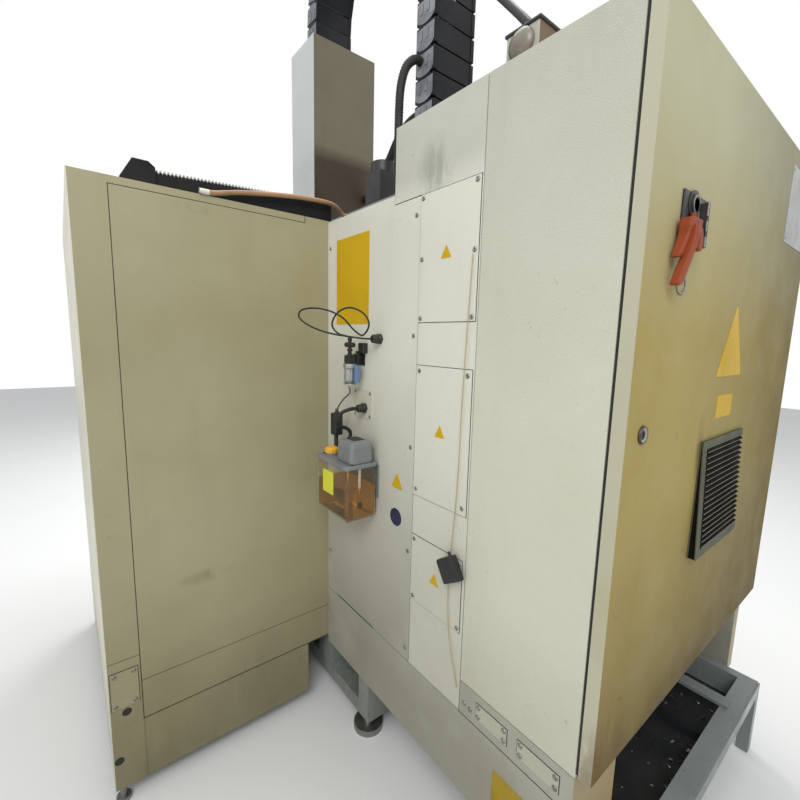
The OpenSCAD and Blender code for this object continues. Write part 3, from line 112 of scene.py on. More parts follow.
class Shader:
    """A Principled material with short helpers for its nodes."""

    def __init__(self, name):
        self.material = bpy.data.materials.new(name)
        self.material.use_nodes = True
        self.tree = self.material.node_tree
        self.main = self.tree.nodes["Principled BSDF"]
        self.place = self.node("TexCoord", {}).outputs["Object"]

    def node(self, kind, inputs, **values):
        return new_node(self.tree, kind, inputs, **values)

    def set(self, name, value):
        feed(self.tree, self.main, {name: value})

    def noise(self, scale, detail=4.0, rough=0.55, stretch=None):
        place = self.place
        if stretch:
            place = self.node("Mapping", {"Vector": place, "Scale": stretch}).outputs["Vector"]
        return self.node("TexNoise", {
            "Vector": place, "Scale": scale, "Detail": detail, "Roughness": rough}).outputs["Fac"]

    def span(self, source, low, high, start=0.0, end=1.0):
        return self.node("MapRange", {"Value": source, "From Min": low, "From Max": high, "To Min": start,
                                      "To Max": end}).outputs["Result"]

    def times(self, one, other):
        return self.node("Math", {0: one, 1: other}, operation="MULTIPLY").outputs["Value"]

    def axis(self, name):
        return self.node("SeparateXYZ", {"Vector": self.place}).outputs[name]

    def near(self, centre, reach):
        """1 about a place, fading to 0 at its reach along each axis."""
        value = self.place
        for operation, other in (("SUBTRACT", centre), ("DIVIDE", reach)):
            value = self.node("VectorMath", {0: value, 1: other}, operation=operation).outputs["Vector"]
        length = self.node("VectorMath", {0: value}, operation="LENGTH").outputs["Value"]
        return self.span(length, 1.0, 0.3)

    def mix(self, share, one, other):
        one, other = [(*c, 1.0) if isinstance(c, tuple) else c for c in (one, other)]
        return self.node("Mix", {0: share, 6: one, 7: other}, data_type="RGBA").outputs[2]

    def bump(self, source, strength, distance):
        inputs = {"Height": source, "Strength": strength, "Distance": distance}
        before = self.main.inputs["Normal"].links
        if before:
            inputs["Normal"] = before[0].from_socket
        self.set("Normal", self.node("Bump", inputs).outputs["Normal"])

    def rough(self, low, high, scale=9.0):
        self.set("Roughness", self.span(self.noise(scale), 0.3, 0.7, low, high))


# Looks by name, and colours as they look on screen, 0 to 255
M = {}
GRIME, WALL, RUST = (104, 92, 68), (160, 154, 123), (112, 62, 30)


def linear(colour):
    """The value that a shader needs for a colour on screen."""
    return tuple(((c / 255 + 0.055) / 1.055) ** 2.4 if c > 10 else c / 255 / 12.92 for c in colour)


def paint(name, clean, aged, dirt, aging=0.6, streak=0.25, spots=0.3, peel=0.25, low=None, rough=(0.32, 0.5),
          rust=None, shades=(), gloss=0.42, marks=()):
    """Sheet-metal paint: cloudy yellowing, streaks that run down, dark specks, an orange-peel bump.

    low brings dirt towards the floor. Each shade mixes a colour in along an axis: (axis, start, end, colour,
    amount). Each mark is a smear about one place: (centre, reach, colour, amount)."""
    s = Shader(name)
    clean, aged, dirt = linear(clean), linear(aged), linear(dirt)
    cloud = s.span(s.noise(1.6, 5.0, 0.6), 0.34, 0.68, 0.0, aging)
    tone = s.mix(cloud, clean, aged)
    run = s.span(s.noise(7.0, 6.0, 0.65, (1.0, 1.0, 0.1)), 0.55, 0.8, 0.0, streak)
    tone = s.mix(run, tone, dirt)
    speck = s.span(s.noise(46.0, 3.0, 0.6), 0.66, 0.74, 0.0, spots)
    speck = s.times(speck, s.span(s.noise(3.1, 2.0), 0.45, 0.65))
    tone = s.mix(speck, tone, dirt)
    if low:
        bottom, top, amount = low
        band = s.span(s.axis("Z"), top, bottom, 0.0, amount)
        band = s.times(band, s.span(s.noise(5.0, 6.0, 0.7, (1.0, 1.0, 0.35)), 0.3, 0.62))
        tone = s.mix(band, tone, dirt)
    for axis, start, end, colour, amount in shades:
        uneven = s.span(s.noise(2.5, 5.0, 0.6), 0.2, 0.5, 0.7, 1.0)
        share = s.times(s.span(s.axis(axis), start, end, 0.0, amount), uneven)
        tone = s.mix(share, tone, linear(colour))
    for centre, reach, colour, amount in marks:
        smear = s.span(s.noise(12.0, 6.0, 0.7, (1.0, 1.0, 0.35)), 0.42, 0.6, 0.0, amount)
        tone = s.mix(s.times(smear, s.near(centre, reach)), tone, linear(colour))
    if rust:
        patch = s.span(s.noise(11.0, 7.0, 0.75), 0.66, 0.72, 0.0, rust)
        tone = s.mix(patch, tone, linear(RUST))
    s.set("Base Color", tone)
    s.rough(*rough)
    s.bump(s.noise(420.0, 1.0, 0.4), peel, 0.0008)
    s.bump(s.noise(14.0, 3.0, 0.5), 0.1, 0.002)
    s.set("Specular IOR Level", gloss)
    M[name] = s.material


def metal(name, colour, dark, grain=(1.0, 1.0, 60.0), rough=(0.25, 0.42), stain=0.4):
    """Ground metal with a fine grain and dark stains."""
    s = Shader(name)
    colour, dark = linear(colour), linear(dark)
    line = s.span(s.noise(30.0, 3.0, 0.6, grain), 0.3, 0.7)
    tone = s.mix(s.times(line, 0.35), colour, dark)
    tone = s.mix(s.span(s.noise(4.0, 6.0, 0.7), 0.5, 0.75, 0.0, stain), tone, dark)
    s.set("Base Color", tone)
    s.set("Metallic", 0.9)
    s.rough(*rough)
    s.bump(line, 0.08, 0.0005)
    M[name] = s.material


def plastic(name, colour, wear_and_light, rough=(0.35, 0.55), dust=0.25, grain=0.12, gloss=0.5):
    """Moulded or painted small parts, clouded with dust. On the chain's side plates the pale clouding is
    partly painted light, for the light that falls on them.
    """
    s = Shader(name)
    tone = s.mix(s.span(s.noise(7.0, 5.0, 0.65), 0.42, 0.75, 0.0, dust), linear(colour), linear(wear_and_light))
    s.set("Base Color", tone)
    s.set("Specular IOR Level", gloss)
    s.rough(*rough)
    s.bump(s.noise(300.0, 2.0, 0.5), grain, 0.0005)
    M[name] = s.material


def clear(name, colour, rough=0.05, clouding=0.1, ior=1.45):
    """Glass, clear plastic and oil. Its colour is the value that the shader needs."""
    s = Shader(name)
    s.set("Base Color", s.mix(s.span(s.noise(12.0, 4.0), 0.4, 0.8, 0.0, clouding), colour, (0.6, 0.58, 0.5)))
    s.rough(rough, rough + 0.08, 40.0)
    s.set("Transmission Weight", 0.97)
    s.set("IOR", ior)
    M[name] = s.material


paint("casting", (146, 152, 146), (120, 124, 116), (58, 54, 46), 0.7, 0.3, 0.5, 0.6, (0.1, 0.9, 0.6))
paint("wall", WALL, (146, 139, 106), GRIME, 0.8, 0.12, 0.3, 0.2, (0.1, 0.55, 0.5),
      shades=(("Z", 0.8, 0.1, (92, 86, 54), 0.5),),
      marks=(((0.875, WING_Y, 0.743), (0.11, 1.0, 0.03), (120, 108, 76), 0.6),
             ((0.857, WING_Y, 2.0), (0.08, 1.0, 0.02), (120, 108, 76), 0.6)))
paint("side", (216, 215, 203), (203, 202, 186), GRIME, 0.7, 0.12, 0.35, 0.35,
      shades=(("Z", 1.55, 0.4, (80, 75, 50), 0.67), ("Y", 1.2782, 1.2788, (154, 136, 94), 1.0)))
paint("cabinet", (207, 206, 190), (193, 192, 170), GRIME, 0.6, 0.12, 0.3, 0.9,
      shades=(("Z", 1.45, 2.2, (112, 114, 106), 0.3), ("Z", 0.95, 0.5, GRIME, 0.25)))
# Painted shade: the strip's neck at the top (Z 1.98 to 2.08) is darkened for the way it faces the light. The
# grey smear on the neck is dirt.
paint("strip", (217, 217, 204), (205, 204, 187), GRIME, 0.6, 0.12, 0.3, 0.9,
      shades=(("Z", 1.98, 2.08, (112, 114, 106), 0.36), ("Z", 1.3, 0.5, GRIME, 0.35),
              ("Y", 0.17, 0.16, WALL, 1.0)),
      marks=(((SIDE_X, 0.741, 2.066), (1.0, 0.09, 0.11), (150, 150, 140), 0.8),))
paint("cover", (217, 217, 204), (205, 204, 187), GRIME, 0.6, 0.12, 0.3, 0.9,
      shades=(("Z", 1.3, 0.5, GRIME, 0.35), ("Z", 0.62, 0.6, (172, 172, 152), 1.0),
              ("Y", 0.17, 0.16, (144, 137, 106), 1.0)))
paint("door", (172, 156, 98), (158, 139, 78), (92, 74, 44), 0.8, 0.14, 0.5, 0.45, (0.6, 0.8, 0.8),
      (0.5, 0.7), gloss=0.15,
      shades=(("Z", 1.62, 2.1, (182, 182, 155), 0.9), ("X", 0.05, -0.95, (74, 62, 28), 0.66),
              ("Z", 1.25, 0.6, (80, 66, 30), 0.68), ("X", 0.3825, 0.383, (184, 181, 158), 1.0)),
      marks=(((-0.047, DOOR_Y, 1.345), (0.03, 1.0, 0.11), (88, 66, 34), 0.6),
             ((0.33, DOOR_Y, 0.68), (0.1, 1.0, 0.2), (96, 70, 34), 0.65),
             ((0.05, DOOR_Y, 0.62), (0.45, 1.0, 0.08), (84, 62, 34), 0.6)))
paint("front", (210, 206, 190), (198, 191, 168), GRIME, 0.5, 0.1, 0.25, 0.2, (0.06, 0.5, 0.6))
# Painted light: the tower's face towards +X is painted near white for the light falling on it. The dark
# brown towards its foot is oil stain.
paint("tower", (118, 112, 91), (98, 90, 69), (62, 46, 30), 0.7, 0.35, 0.4, 0.2,
      shades=(("Z", 2.56, 2.49, (56, 40, 27), 0.92), ("X", 0.1765, 0.1775, (196, 200, 198), 1.0)))
paint("roof", (150, 146, 130), (120, 112, 92), (60, 52, 42), 0.8, 0.2, 0.8, 0.3)
paint("frame", (122, 124, 120), (102, 102, 96), (40, 38, 34), 0.6, 0.2, 0.7, 0.3, None, (0.35, 0.55), 0.5)
paint("tray", (132, 138, 138), (104, 108, 106), (26, 26, 26), 0.6, 0.2, 1.0, 0.3, None, (0.2, 0.5), 0.4)
paint("pendant", (196, 194, 184), (180, 174, 156), GRIME, 0.5, 0.1, 0.2, 0.3)
paint("junction", (182, 182, 172), (150, 142, 124), (92, 66, 44), 0.8, 0.4, 0.8, 0.4, None, (0.4, 0.6), 0.3,
      shades=(("Y", 0.8665, 0.8675, (104, 76, 50), 0.9),))
paint("gland_plate", (198, 196, 180), (180, 176, 154), GRIME, 0.6, 0.2, 0.5, 0.2)
paint("inside", (138, 140, 140), (120, 120, 116), (60, 58, 54), 0.4, 0.05, 0.2)
metal("steel", (190, 192, 194), (96, 92, 84))
metal("table", (168, 170, 168), (84, 80, 70), (60.0, 1.0, 1.0))
metal("screw", (150, 150, 146), (70, 62, 50), (1, 1, 1), (0.3, 0.5))
metal("plate", (176, 178, 178), (120, 116, 106), (1, 1, 1), (0.35, 0.55), 0.3)
plastic("motor", (38, 38, 40), (78, 74, 68))
plastic("chain", (17, 18, 21), (44, 46, 50), (0.4, 0.6), 0.35, 0.12, 0.22)
# Painted light and dust: paler grey side plates of the chain, for the light on them and the dust.
plastic("chain_side_dust_and_light", (96, 99, 105), (168, 172, 178), (0.35, 0.5), 0.9)
plastic("black", (30, 30, 31), (74, 70, 64))
plastic("bellows", (20, 20, 22), (52, 47, 41), (0.6, 0.8), 0.4, 0.4, 0.25)
plastic("rubber", (24, 24, 24), (60, 56, 50), (0.6, 0.8), 0.3)
plastic("grille", (80, 82, 62), (58, 52, 38), (0.45, 0.65), 0.7, 0.2, 0.25)
plastic("lock_rim", (58, 44, 30), (96, 80, 56), (0.3, 0.5), 0.5)
# Painted shade: near-black slats for the shade between the grille's slats.
plastic("slat", (12, 10, 8), (30, 23, 16), (0.6, 0.8), 0.6, 0.2, 0.1)
# Painted highlight: pale lips where light catches the front edges of the slats.
plastic("slat_lip_highlight", (112, 106, 84), (70, 58, 42), (0.4, 0.6), 0.9, 0.2)
plastic("seam", (44, 38, 26), (78, 66, 44), (0.6, 0.8), 0.8)
plastic("orange", (142, 63, 28), (94, 42, 24), (0.4, 0.6), 0.6, 0.12, 0.3)
plastic("red", (188, 36, 26), (120, 30, 24))
plastic("green", (40, 128, 58), (32, 88, 44))
plastic("grey", (128, 132, 134), (92, 90, 86))
plastic("yellow", (202, 164, 14), (172, 138, 30), (0.4, 0.6), 0.5, 0.12, 0.3)
plastic("old_yellow", (158, 132, 22), (96, 80, 30), (0.4, 0.6), 0.8, 0.12, 0.3)
plastic("cap", (232, 168, 40), (206, 138, 40), (0.3, 0.5), 0.3)
plastic("label", (214, 214, 60), (188, 184, 80), (0.4, 0.6), 0.4)
plastic("blue", (30, 36, 72), (26, 30, 52))
plastic("oil_line", (92, 88, 74), (70, 64, 52))
plastic("lid", (122, 126, 128), (96, 94, 88), (0.3, 0.45), 0.4)
plastic("dome", (132, 124, 112), (78, 62, 46), (0.2, 0.4), 0.9)
plastic("cord", (176, 160, 124), (130, 116, 88), (0.5, 0.7), 0.5)
plastic("tan", (168, 132, 94), (104, 78, 54), (0.4, 0.6), 0.6)
plastic("regulator", (92, 122, 160), (84, 98, 114), (0.25, 0.45), 0.4)
plastic("gauge", (214, 214, 206), (190, 186, 170), (0.2, 0.4), 0.2)
plastic("coolant", (34, 36, 38), (60, 60, 58), (0.04, 0.25), 0.5, 0.05)
# Painted highlight on the crests of the roof cover's folds.
plastic("fold_highlight", (176, 174, 168), (110, 104, 92), (0.5, 0.7), 0.5)
plastic("screen", (26, 30, 34), (40, 44, 48), (0.08, 0.16), 0.2, 0.02)
plastic("key_grey", (176, 176, 168), (150, 146, 132))
plastic("key_dark", (64, 66, 70), (84, 82, 76))
plastic("key_blue", (74, 108, 150), (70, 88, 110))
clear("window", (0.72, 0.8, 0.78), 0.03, 0.2)
clear("tank", (0.9, 0.86, 0.76), 0.03, 0.06, 1.15)
clear("oil", (0.62, 0.3, 0.03), 0.05, 0.04, 1.2)
clear("bowl", (0.9, 0.92, 0.92), 0.05, 0.2)

NODE_LOOK = {
    "casting": "base_casting column saddle head_casting",
    "steel": "guide_rails x_rails x_screw y_screw z_screw spindle spindle_cartridge door_rails",
    "table": "table magazine_disc",
    "screw": "levelling_feet panel_screws door_hinges",
    "motor": "servo_motors spindle_motor",
    "wall": "wing_walls wing_panel",
    "front": "side_walls front_panels front_door_left front_door_right",
    "tower": "head_tower",
    "roof": "roof_sheets",
    "frame": "enclosure_frame chip_pans pendant_arm magazine_carriage",
    "bellows": "roof_bellows",
    "cabinet": "cabinet_box",
    "side": "side_sheet lower_sheet",
    "strip": "access_strip",
    "cover": "access_covers",
    "door": "cabinet_door",
    "rubber": "door_seal hoses",
    "grille": "louvre_grille",
    "black": "fan_rotor switch_plate door_lock cable_glands wiring_boxes handwheel",
    "chain": "cable_chain",
    "orange": "switch_handle",
    "inside": "cabinet_modules",
    "tank": "oil_tank",
    "grey": "oil_pump air_regulator",
    "cap": "oil_cap",
    "tray": "coolant_tank",
    "pendant": "pendant_box",
    "red": "e_stop",
    "green": "start_button",
    "window": "window_left window_right",
}
for look, names in NODE_LOOK.items():
    for name in names.split():
        mesh = nodes[name].data
        mesh.materials.clear()
        mesh.materials.append(M[look])


# Shapes
def angles(steps):
    return [2 * pi * k / steps for k in range(steps)]


def shift(x, y, z):
    return Matrix.Translation((x, y, z))


def turned(angle):
    return Matrix.Rotation(angle, 4, "X")


class Shape:
    """Collects blocks, turned profiles, prisms and lofts until piece() makes an object of them."""

    def __init__(self):
        self.bm = bmesh.new()

    def points(self, outline):
        return [self.bm.verts.new(p) for p in outline]

    def face(self, *verts):
        return self.bm.faces.new(verts)

    def skin(self, outlines, ends=True, closed=False):
        """Faces from each outline to the next, with a face at both ends or joined up to a closed ring."""
        rings = [self.points(outline) for outline in outlines]
        for a, b in zip(rings, rings[1:] + rings[:1] * closed):
            for k in range(len(a)):
                n = (k + 1) % len(a)
                self.face(a[k], a[n], b[n], b[k])
        if ends:
            self.face(*reversed(rings[0]))
            self.face(*rings[-1])

    def round_off(self, edges, bevel, segments):
        return bmesh.ops.bevel(self.bm, geom=edges, offset=bevel, segments=segments, profile=0.5,
                               affect="EDGES")

    def box(self, low, high, bevel=0.0, segments=2, turn=None):
        """A block between two corners with rounded edges, turned afterwards if asked."""
        low, high = Vector(low), Vector(high)
        verts = bmesh.ops.create_cube(self.bm, size=1.0)["verts"]
        for v in verts:
            v.co = Vector([low[i] + (v.co[i] + 0.5) * (high[i] - low[i]) for i in range(3)])
        if bevel:
            edges = list({e for v in verts for e in v.link_edges})
            made = self.round_off(edges, bevel, segments)
            verts = list({v for f in made["faces"] for v in f.verts} | {v for v in verts if v.is_valid})
        if turn:
            bmesh.ops.transform(self.bm, matrix=turn, verts=verts)

    def lathe(self, profile, place, steps=32):
        """Points (radius, height) turned about local Z and placed by the matrix."""
        self.skin([[place @ Vector((r * cos(a), r * sin(a), height)) for a in angles(steps)]
                   for r, height in profile])

    def prism(self, outline, place, depth, bevel=0.0, segments=2):
        """An outline in local X and Y, given depth along local Z, with its front edges rounded."""
        bottom = self.points(place @ Vector((x, y, 0)) for x, y in outline)
        top = self.points(place @ Vector((x, y, depth)) for x, y in outline)
        count = len(outline)
        self.face(*reversed(bottom))
        front = self.face(*top)
        for k in range(count):
            n = (k + 1) % count
            self.face(bottom[k], bottom[n], top[n], top[k])
        if bevel:
            self.round_off(list(front.edges), bevel, segments)

    def collar(self, outer, inner, place, heights):
        """A rim between two outlines, at four heights from outside to inside, open at its back."""
        self.skin([[place @ Vector((x, y, z)) for x, y in outline]
                   for outline, z in zip((outer, outer, inner, inner), heights)], False)

    def mesh(self, name, material):
        mesh = bpy.data.meshes.new(name)
        self.bm.to_mesh(mesh)
        self.bm.free()
        self.bm = bmesh.new()
        mesh.materials.append(material)
        return mesh

    def piece(self, name, look, body="root", smooth=False, slot=None):
        """Makes an object of the shapes so far, with its look, riding on a body."""
        bmesh.ops.recalc_face_normals(self.bm, faces=self.bm.faces)
        mesh = self.mesh(name, M[look])
        if smooth:
            for polygon in mesh.polygons:
                polygon.use_smooth = True
        made = add_object(name, mesh)
        if body:
            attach(made, body)
        return made


def facing_x(x, y, z):
    """Local X along row +Y, local Y up, local Z out along row +X."""
    return Matrix(((0, 0, 1, x), (1, 0, 0, y), (0, 1, 0, z), (0, 0, 0, 1)))


def facing_y(x, y, z):
    """Local X along row -X, local Y up, local Z out along row +Y."""
    return Matrix(((-1, 0, 0, x), (0, 0, 1, y), (0, 1, 0, z), (0, 0, 0, 1)))


def rounded(width, height, radius, steps=5, cx=0.0, cy=0.0):
    points = []
    for sx, sy, start in ((1, 1, 0), (-1, 1, 90), (-1, -1, 180), (1, -1, 270)):
        for k in range(steps + 1):
            a = radians(start + 90 * k / steps)
            points.append((cx + sx * (width / 2 - radius) + radius * cos(a),
                           cy + sy * (height / 2 - radius) + radius * sin(a)))
    return points


def rounded_triangle(width, height, radius, steps=5):
    """A triangle standing on its long side, each corner a curve between two points on its edges."""
    corners = [Vector((0, height)), Vector((-width / 2, 0)), Vector((width / 2, 0))]
    points = []
    for i, corner in enumerate(corners):
        first = corner + (corners[i - 1] - corner).normalized() * radius * 1.7
        last = corner + (corners[(i + 1) % 3] - corner).normalized() * radius * 1.7
        for k in range(steps + 1):
            t = k / steps
            p = first * (1 - t) ** 2 + corner * 2 * t * (1 - t) + last * t ** 2
            points.append((p.x, p.y))
    return points


def curve_through(points, smooth_steps):
    """A smooth line through the points."""
    spots = [Vector(p) for p in points]
    line = []
    for i in range(len(spots) - 1):
        a = spots[max(i - 1, 0)]
        b, c = spots[i], spots[i + 1]
        d = spots[min(i + 2, len(spots) - 1)]
        for k in range(smooth_steps):
            t = k / smooth_steps
            line.append(0.5 * (2 * b + (c - a) * t + (2 * a - 5 * b + 4 * c - d) * t ** 2
                               + (3 * b - a - 3 * c + d) * t ** 3))
    line.append(spots[-1])
    return line


def tube(name, points, diameter, look, body="root", steps=12, smooth_steps=6, ridges=None):
    """A hose along a smooth curve through the points, in metres. ridges gives a pitch and depth."""
    line = curve_through(points, smooth_steps)
    if ridges:
        pitch, depth = ridges
        fine = [line[0]]
        for a, b in zip(line, line[1:]):
            parts = max(1, round((b - a).length / (pitch / 2)))
            fine += [a.lerp(b, (k + 1) / parts) for k in range(parts)]
        line = fine
    normal = None
    outlines = []
    for i, p in enumerate(line):
        way = (line[min(i + 1, len(line) - 1)] - line[max(i - 1, 0)]).normalized()
        if normal is None:
            normal = way.orthogonal().normalized()
        normal = (normal - way * normal.dot(way)).normalized()
        side = way.cross(normal)
        radius = diameter / 2 - (depth if ridges and i % 2 else 0.0)
        outlines.append([p + radius * (cos(a) * normal + sin(a) * side) for a in angles(steps)])
    s = Shape()
    s.skin(outlines)
    return s.piece(name, look, body, True)


# Hoses and cables, on the routes of the CAD part, in millimetres
# Beside the side sheet: distance from the sheet, distance from the door's outside, height
AIR = [
    (34, 822, 1599), (60, 822, 1599), (106, 873, 1606), (146, 936, 1618), (176, 1002, 1641),
    (191, 1040, 1668), (186, 1027, 1692), (166, 969, 1697), (136, 920, 1687), (106, 887, 1665),
    (78, 869, 1630), (56, 853, 1610), (66, 808, 1620), (76, 777, 1648), (91, 789, 1679), (106, 843, 1697),
    (111, 911, 1684), (106, 960, 1646), (82, 963, 1616), (49, 942, 1604), (46, 940, 1589.2)
]
PUMP = [
    (36, 905, 1352), (64, 905, 1352), (94, 913, 1340), (106, 923, 1314), (94, 933, 1290), (64, 940, 1280),
    (43, 940, 1264), (43, 940, 1238)
]
OIL = [
    (46, 940, 1426), (46, 940, 1404), (56, 967, 1378), (62, 997, 1340), (58, 1015, 1290), (56, 1025, 1230),
    (56, 1025, 1174)
]
CORD = [
    (7, 412, 1820), (8, 416, 1700), (8, 422, 1560), (10, 425, 1400), (8, 429, 1240), (9, 435, 1100),
    (8, 443, 1010), (8, 449, 880), (8, 443, 780), (6, 431, 700), (5, 415, 640), (2, 403, 590)
]
# Along the roof's edge: X, distance from the wing wall, height above the roof
ROOF_HOSE = [
    (850, 3, 8.4), (802, 3, 12), (721, 3, 31), (617, 3, 48), (503, 3, 62), (400, 3, 67), (350, -5, 63),
    (318, -24, 52), (300, -31, 44), (280.5, -31, 44)
]
# Above the column: X, distance from the spindle's axis, height above the column
TOWER = [
    (-150, 840, 0), (-150, 840, 120), (-150, 810, 280), (-150, 730, 420), (-150, 620, 500), (-150, 510, 530),
    (-150, 400, 490), (-150, 310, 400), (-140, 230, 300), (-132, 170, 252), (-132, 125, 252)
]
RISER = [
    (207, 850, 0), (207, 850, 150), (207, 850, 300), (203, 852, 400), (185, 858, 470), (150, 865, 506),
    (120.5, 865, 506)
]
COLUMN_TOP = 2.1


def along(route, x, y, z, way=1):
    """A route in millimetres, put at its place in metres."""
    return [(x + a / 1000, y + way * b / 1000, z + c / 1000) for a, b, c in route]


def beside(route):
    return along(route, SIDE_X, DOOR_Y, 0.0, -1)


def above(route):
    return along(route, 0.0, SPIN_Y, COLUMN_TOP)


def cord(name, points, diameter, look, steps=10):
    """A hose or cable along a smooth line through its points."""
    made = tube(name, points, diameter, look, steps=steps, smooth_steps=8)
    return made


air = cord("air_hose", beside(AIR), 0.006, "rubber")
cord("pump_cable", beside(PUMP), 0.013, "rubber", 14)
cord("oil_hose", beside(OIL), 0.006, "oil_line")
cord("box_cord", beside(CORD), 0.0026, "cord", 8)
cord("roof_hose", along(ROOF_HOSE, 0.0, WING_Y, ROOF), 0.016, "tan", 14)
conduit = tube("tower_conduit", above(TOWER), 0.044, "rubber", None, 16, 6, (0.012, 0.003))
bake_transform(conduit)
tube("riser_conduit", above(RISER), 0.032, "rubber", "root", 16, 6, (0.01, 0.0022))
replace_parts(air, "hoses")

# Cable chain, its links set out straight and round a fixed bend
CHAIN_X, CHAIN_R = 0.02, 0.445
BEND_LINKS, FIXED_LINKS, HEAD_LINKS = 16, 11, 1
LINK = pi * CHAIN_R / BEND_LINKS
HEAD_Y, FIXED_Y = -0.515, 0.375
HEAD_Z = 3.08
BEND_Z = HEAD_Z + HEAD_LINKS * LINK
CHAIN_Z = BEND_Z - FIXED_LINKS * LINK


def link_places():
    for i in range(FIXED_LINKS):
        yield shift(CHAIN_X, FIXED_Y, CHAIN_Z + i * LINK)
    for i in range(BEND_LINKS):
        turn = turned((i + 0.5) * pi / BEND_LINKS)
        yield shift(CHAIN_X, FIXED_Y - CHAIN_R, BEND_Z) @ turn @ shift(0, CHAIN_R, -LINK / 2)
    for i in range(HEAD_LINKS):
        yield shift(CHAIN_X, HEAD_Y, HEAD_Z + i * LINK)


def build_chain():
    s = Shape()
    s.bm.from_mesh(nodes["cable_chain"].data)
    half, low, high = 0.0475, 0.016, LINK - 0.012
    scale = [(half, high), (-half, high)] + [
        (-half + 2 * half * k / 10, low - 0.018 * sin(pi * k / 10) ** 0.6) for k in range(11)]
    for place in link_places():
        for side in (-1, 1):
            face = Matrix(((0, 0, side, side * 0.0998), (1, 0, 0, 0), (0, 1, 0, 0), (0, 0, 0, 1)))
            s.prism(scale, place @ face, 0.0022, 0.0008)
            lift = place @ face @ shift(0, 0, 0.002)
            for y in (-0.024, 0.01):
                s.prism(rounded(0.018, 0.036, 0.005, 3, y, LINK * 0.56), lift, 0.0016, 0.0007)
            s.lathe([(0.013, 0), (0.013, 0.001), (0.01, 0.0016), (0.005, 0.001)],
                    lift @ shift(0.03, LINK * 0.3, 0), 16)
    made = s.piece("chain_links", "chain", None)
    # The outer side plates take the paler grey: painted light on them, and dust.
    made.data.materials.append(M["chain_side_dust_and_light"])
    for polygon in made.data.polygons:
        if abs(polygon.normal.x) > 0.6 and abs(polygon.center.x - CHAIN_X) > 0.1012:
            polygon.material_index = 1
    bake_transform(made)
    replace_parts(made, "cable_chain")


build_chain()


# Bare plates and discs
def plates():
    s = Shape()
    s.prism(rounded_triangle(0.214, 0.192, 0.006), facing_y(-0.213, DOOR_Y, 1.521), 0.0012, 0.0004)
    s.piece("door_triangle_plate", "yellow", "cabinet_door")
    s.prism(rounded(0.13, 0.062, 0.003), facing_y(-0.2065, DOOR_Y, 1.4385), 0.0008, 0.0003)
    s.piece("door_small_plate", "yellow", "cabinet_door")
    plate_x, plate_z = -0.745, 2.051
    s.prism(rounded(0.3, 0.23, 0.003), facing_y(plate_x, DOOR_Y, plate_z), 0.0012, 0.0004)
    for x in (-0.138, 0.138):
        for z in (-0.103, 0.103):
            s.lathe([(0.004, 0.0012), (0.004, 0.0022), (0.0025, 0.003)],
                    facing_y(plate_x + x, DOOR_Y, plate_z + z), 12)
    s.piece("door_rating_plate", "plate", "cabinet_door")
    s.prism(rounded(0.22, 0.312, 0.003), facing_x(SIDE_X, 0.313, 1.806), 0.0008, 0.0003)
    s.piece("side_upper_plate", "yellow")
    s.prism(rounded(0.15, 0.1, 0.003), facing_x(SIDE_X, 1.13, 0.393), 0.0008, 0.0003)
    s.piece("side_lower_plate", "old_yellow")
    for z in (1.823, 1.319, 0.858):
        s.prism(rounded_triangle(0.042, 0.037, 0.003, 3), facing_x(SIDE_X + 0.002, 0.8, z), 0.0007, 0.0002)
    s.prism(rounded_triangle(0.06, 0.053, 0.004, 3), facing_x(SIDE_X, 0.604, 1.108), 0.0007, 0.0002)
    s.piece("side_triangle_plates", "yellow")
    s.lathe([(0.0305, 0), (0.0305, 0.0007), (0.03, 0.001)], facing_x(SIDE_X, 0.601, 1.006), 40)
    s.piece("side_blue_disc", "blue")


plates()


# Painted shadow: a thin dark sheet round each access cover, for the shade in the gap along its edge
def cover_edge_shadows():
    s = Shape()
    covers = [(0.399, 0.626, 1.651, 2.01), (0.4, 0.625, 1.116, 1.523), (0.405, 0.625, 0.762, 0.983),
              (0.222, 0.327, 0.548, 0.595), (0.071, 0.188, 0.548, 0.595)]
    edge = 0.0018
    for near, far, low, high in covers:
        s.box((SIDE_X, DOOR_Y - far - edge, low - edge),
              (SIDE_X + 0.0008, DOOR_Y - near + edge, high + edge))
    s.box((1.104 - edge, WING_Y + 0.0015, 0.366 - edge), (1.183 + edge, WING_Y + 0.0023, 0.498 + edge))
    s.piece("cover_edge_shadows", "rubber")


cover_edge_shadows()


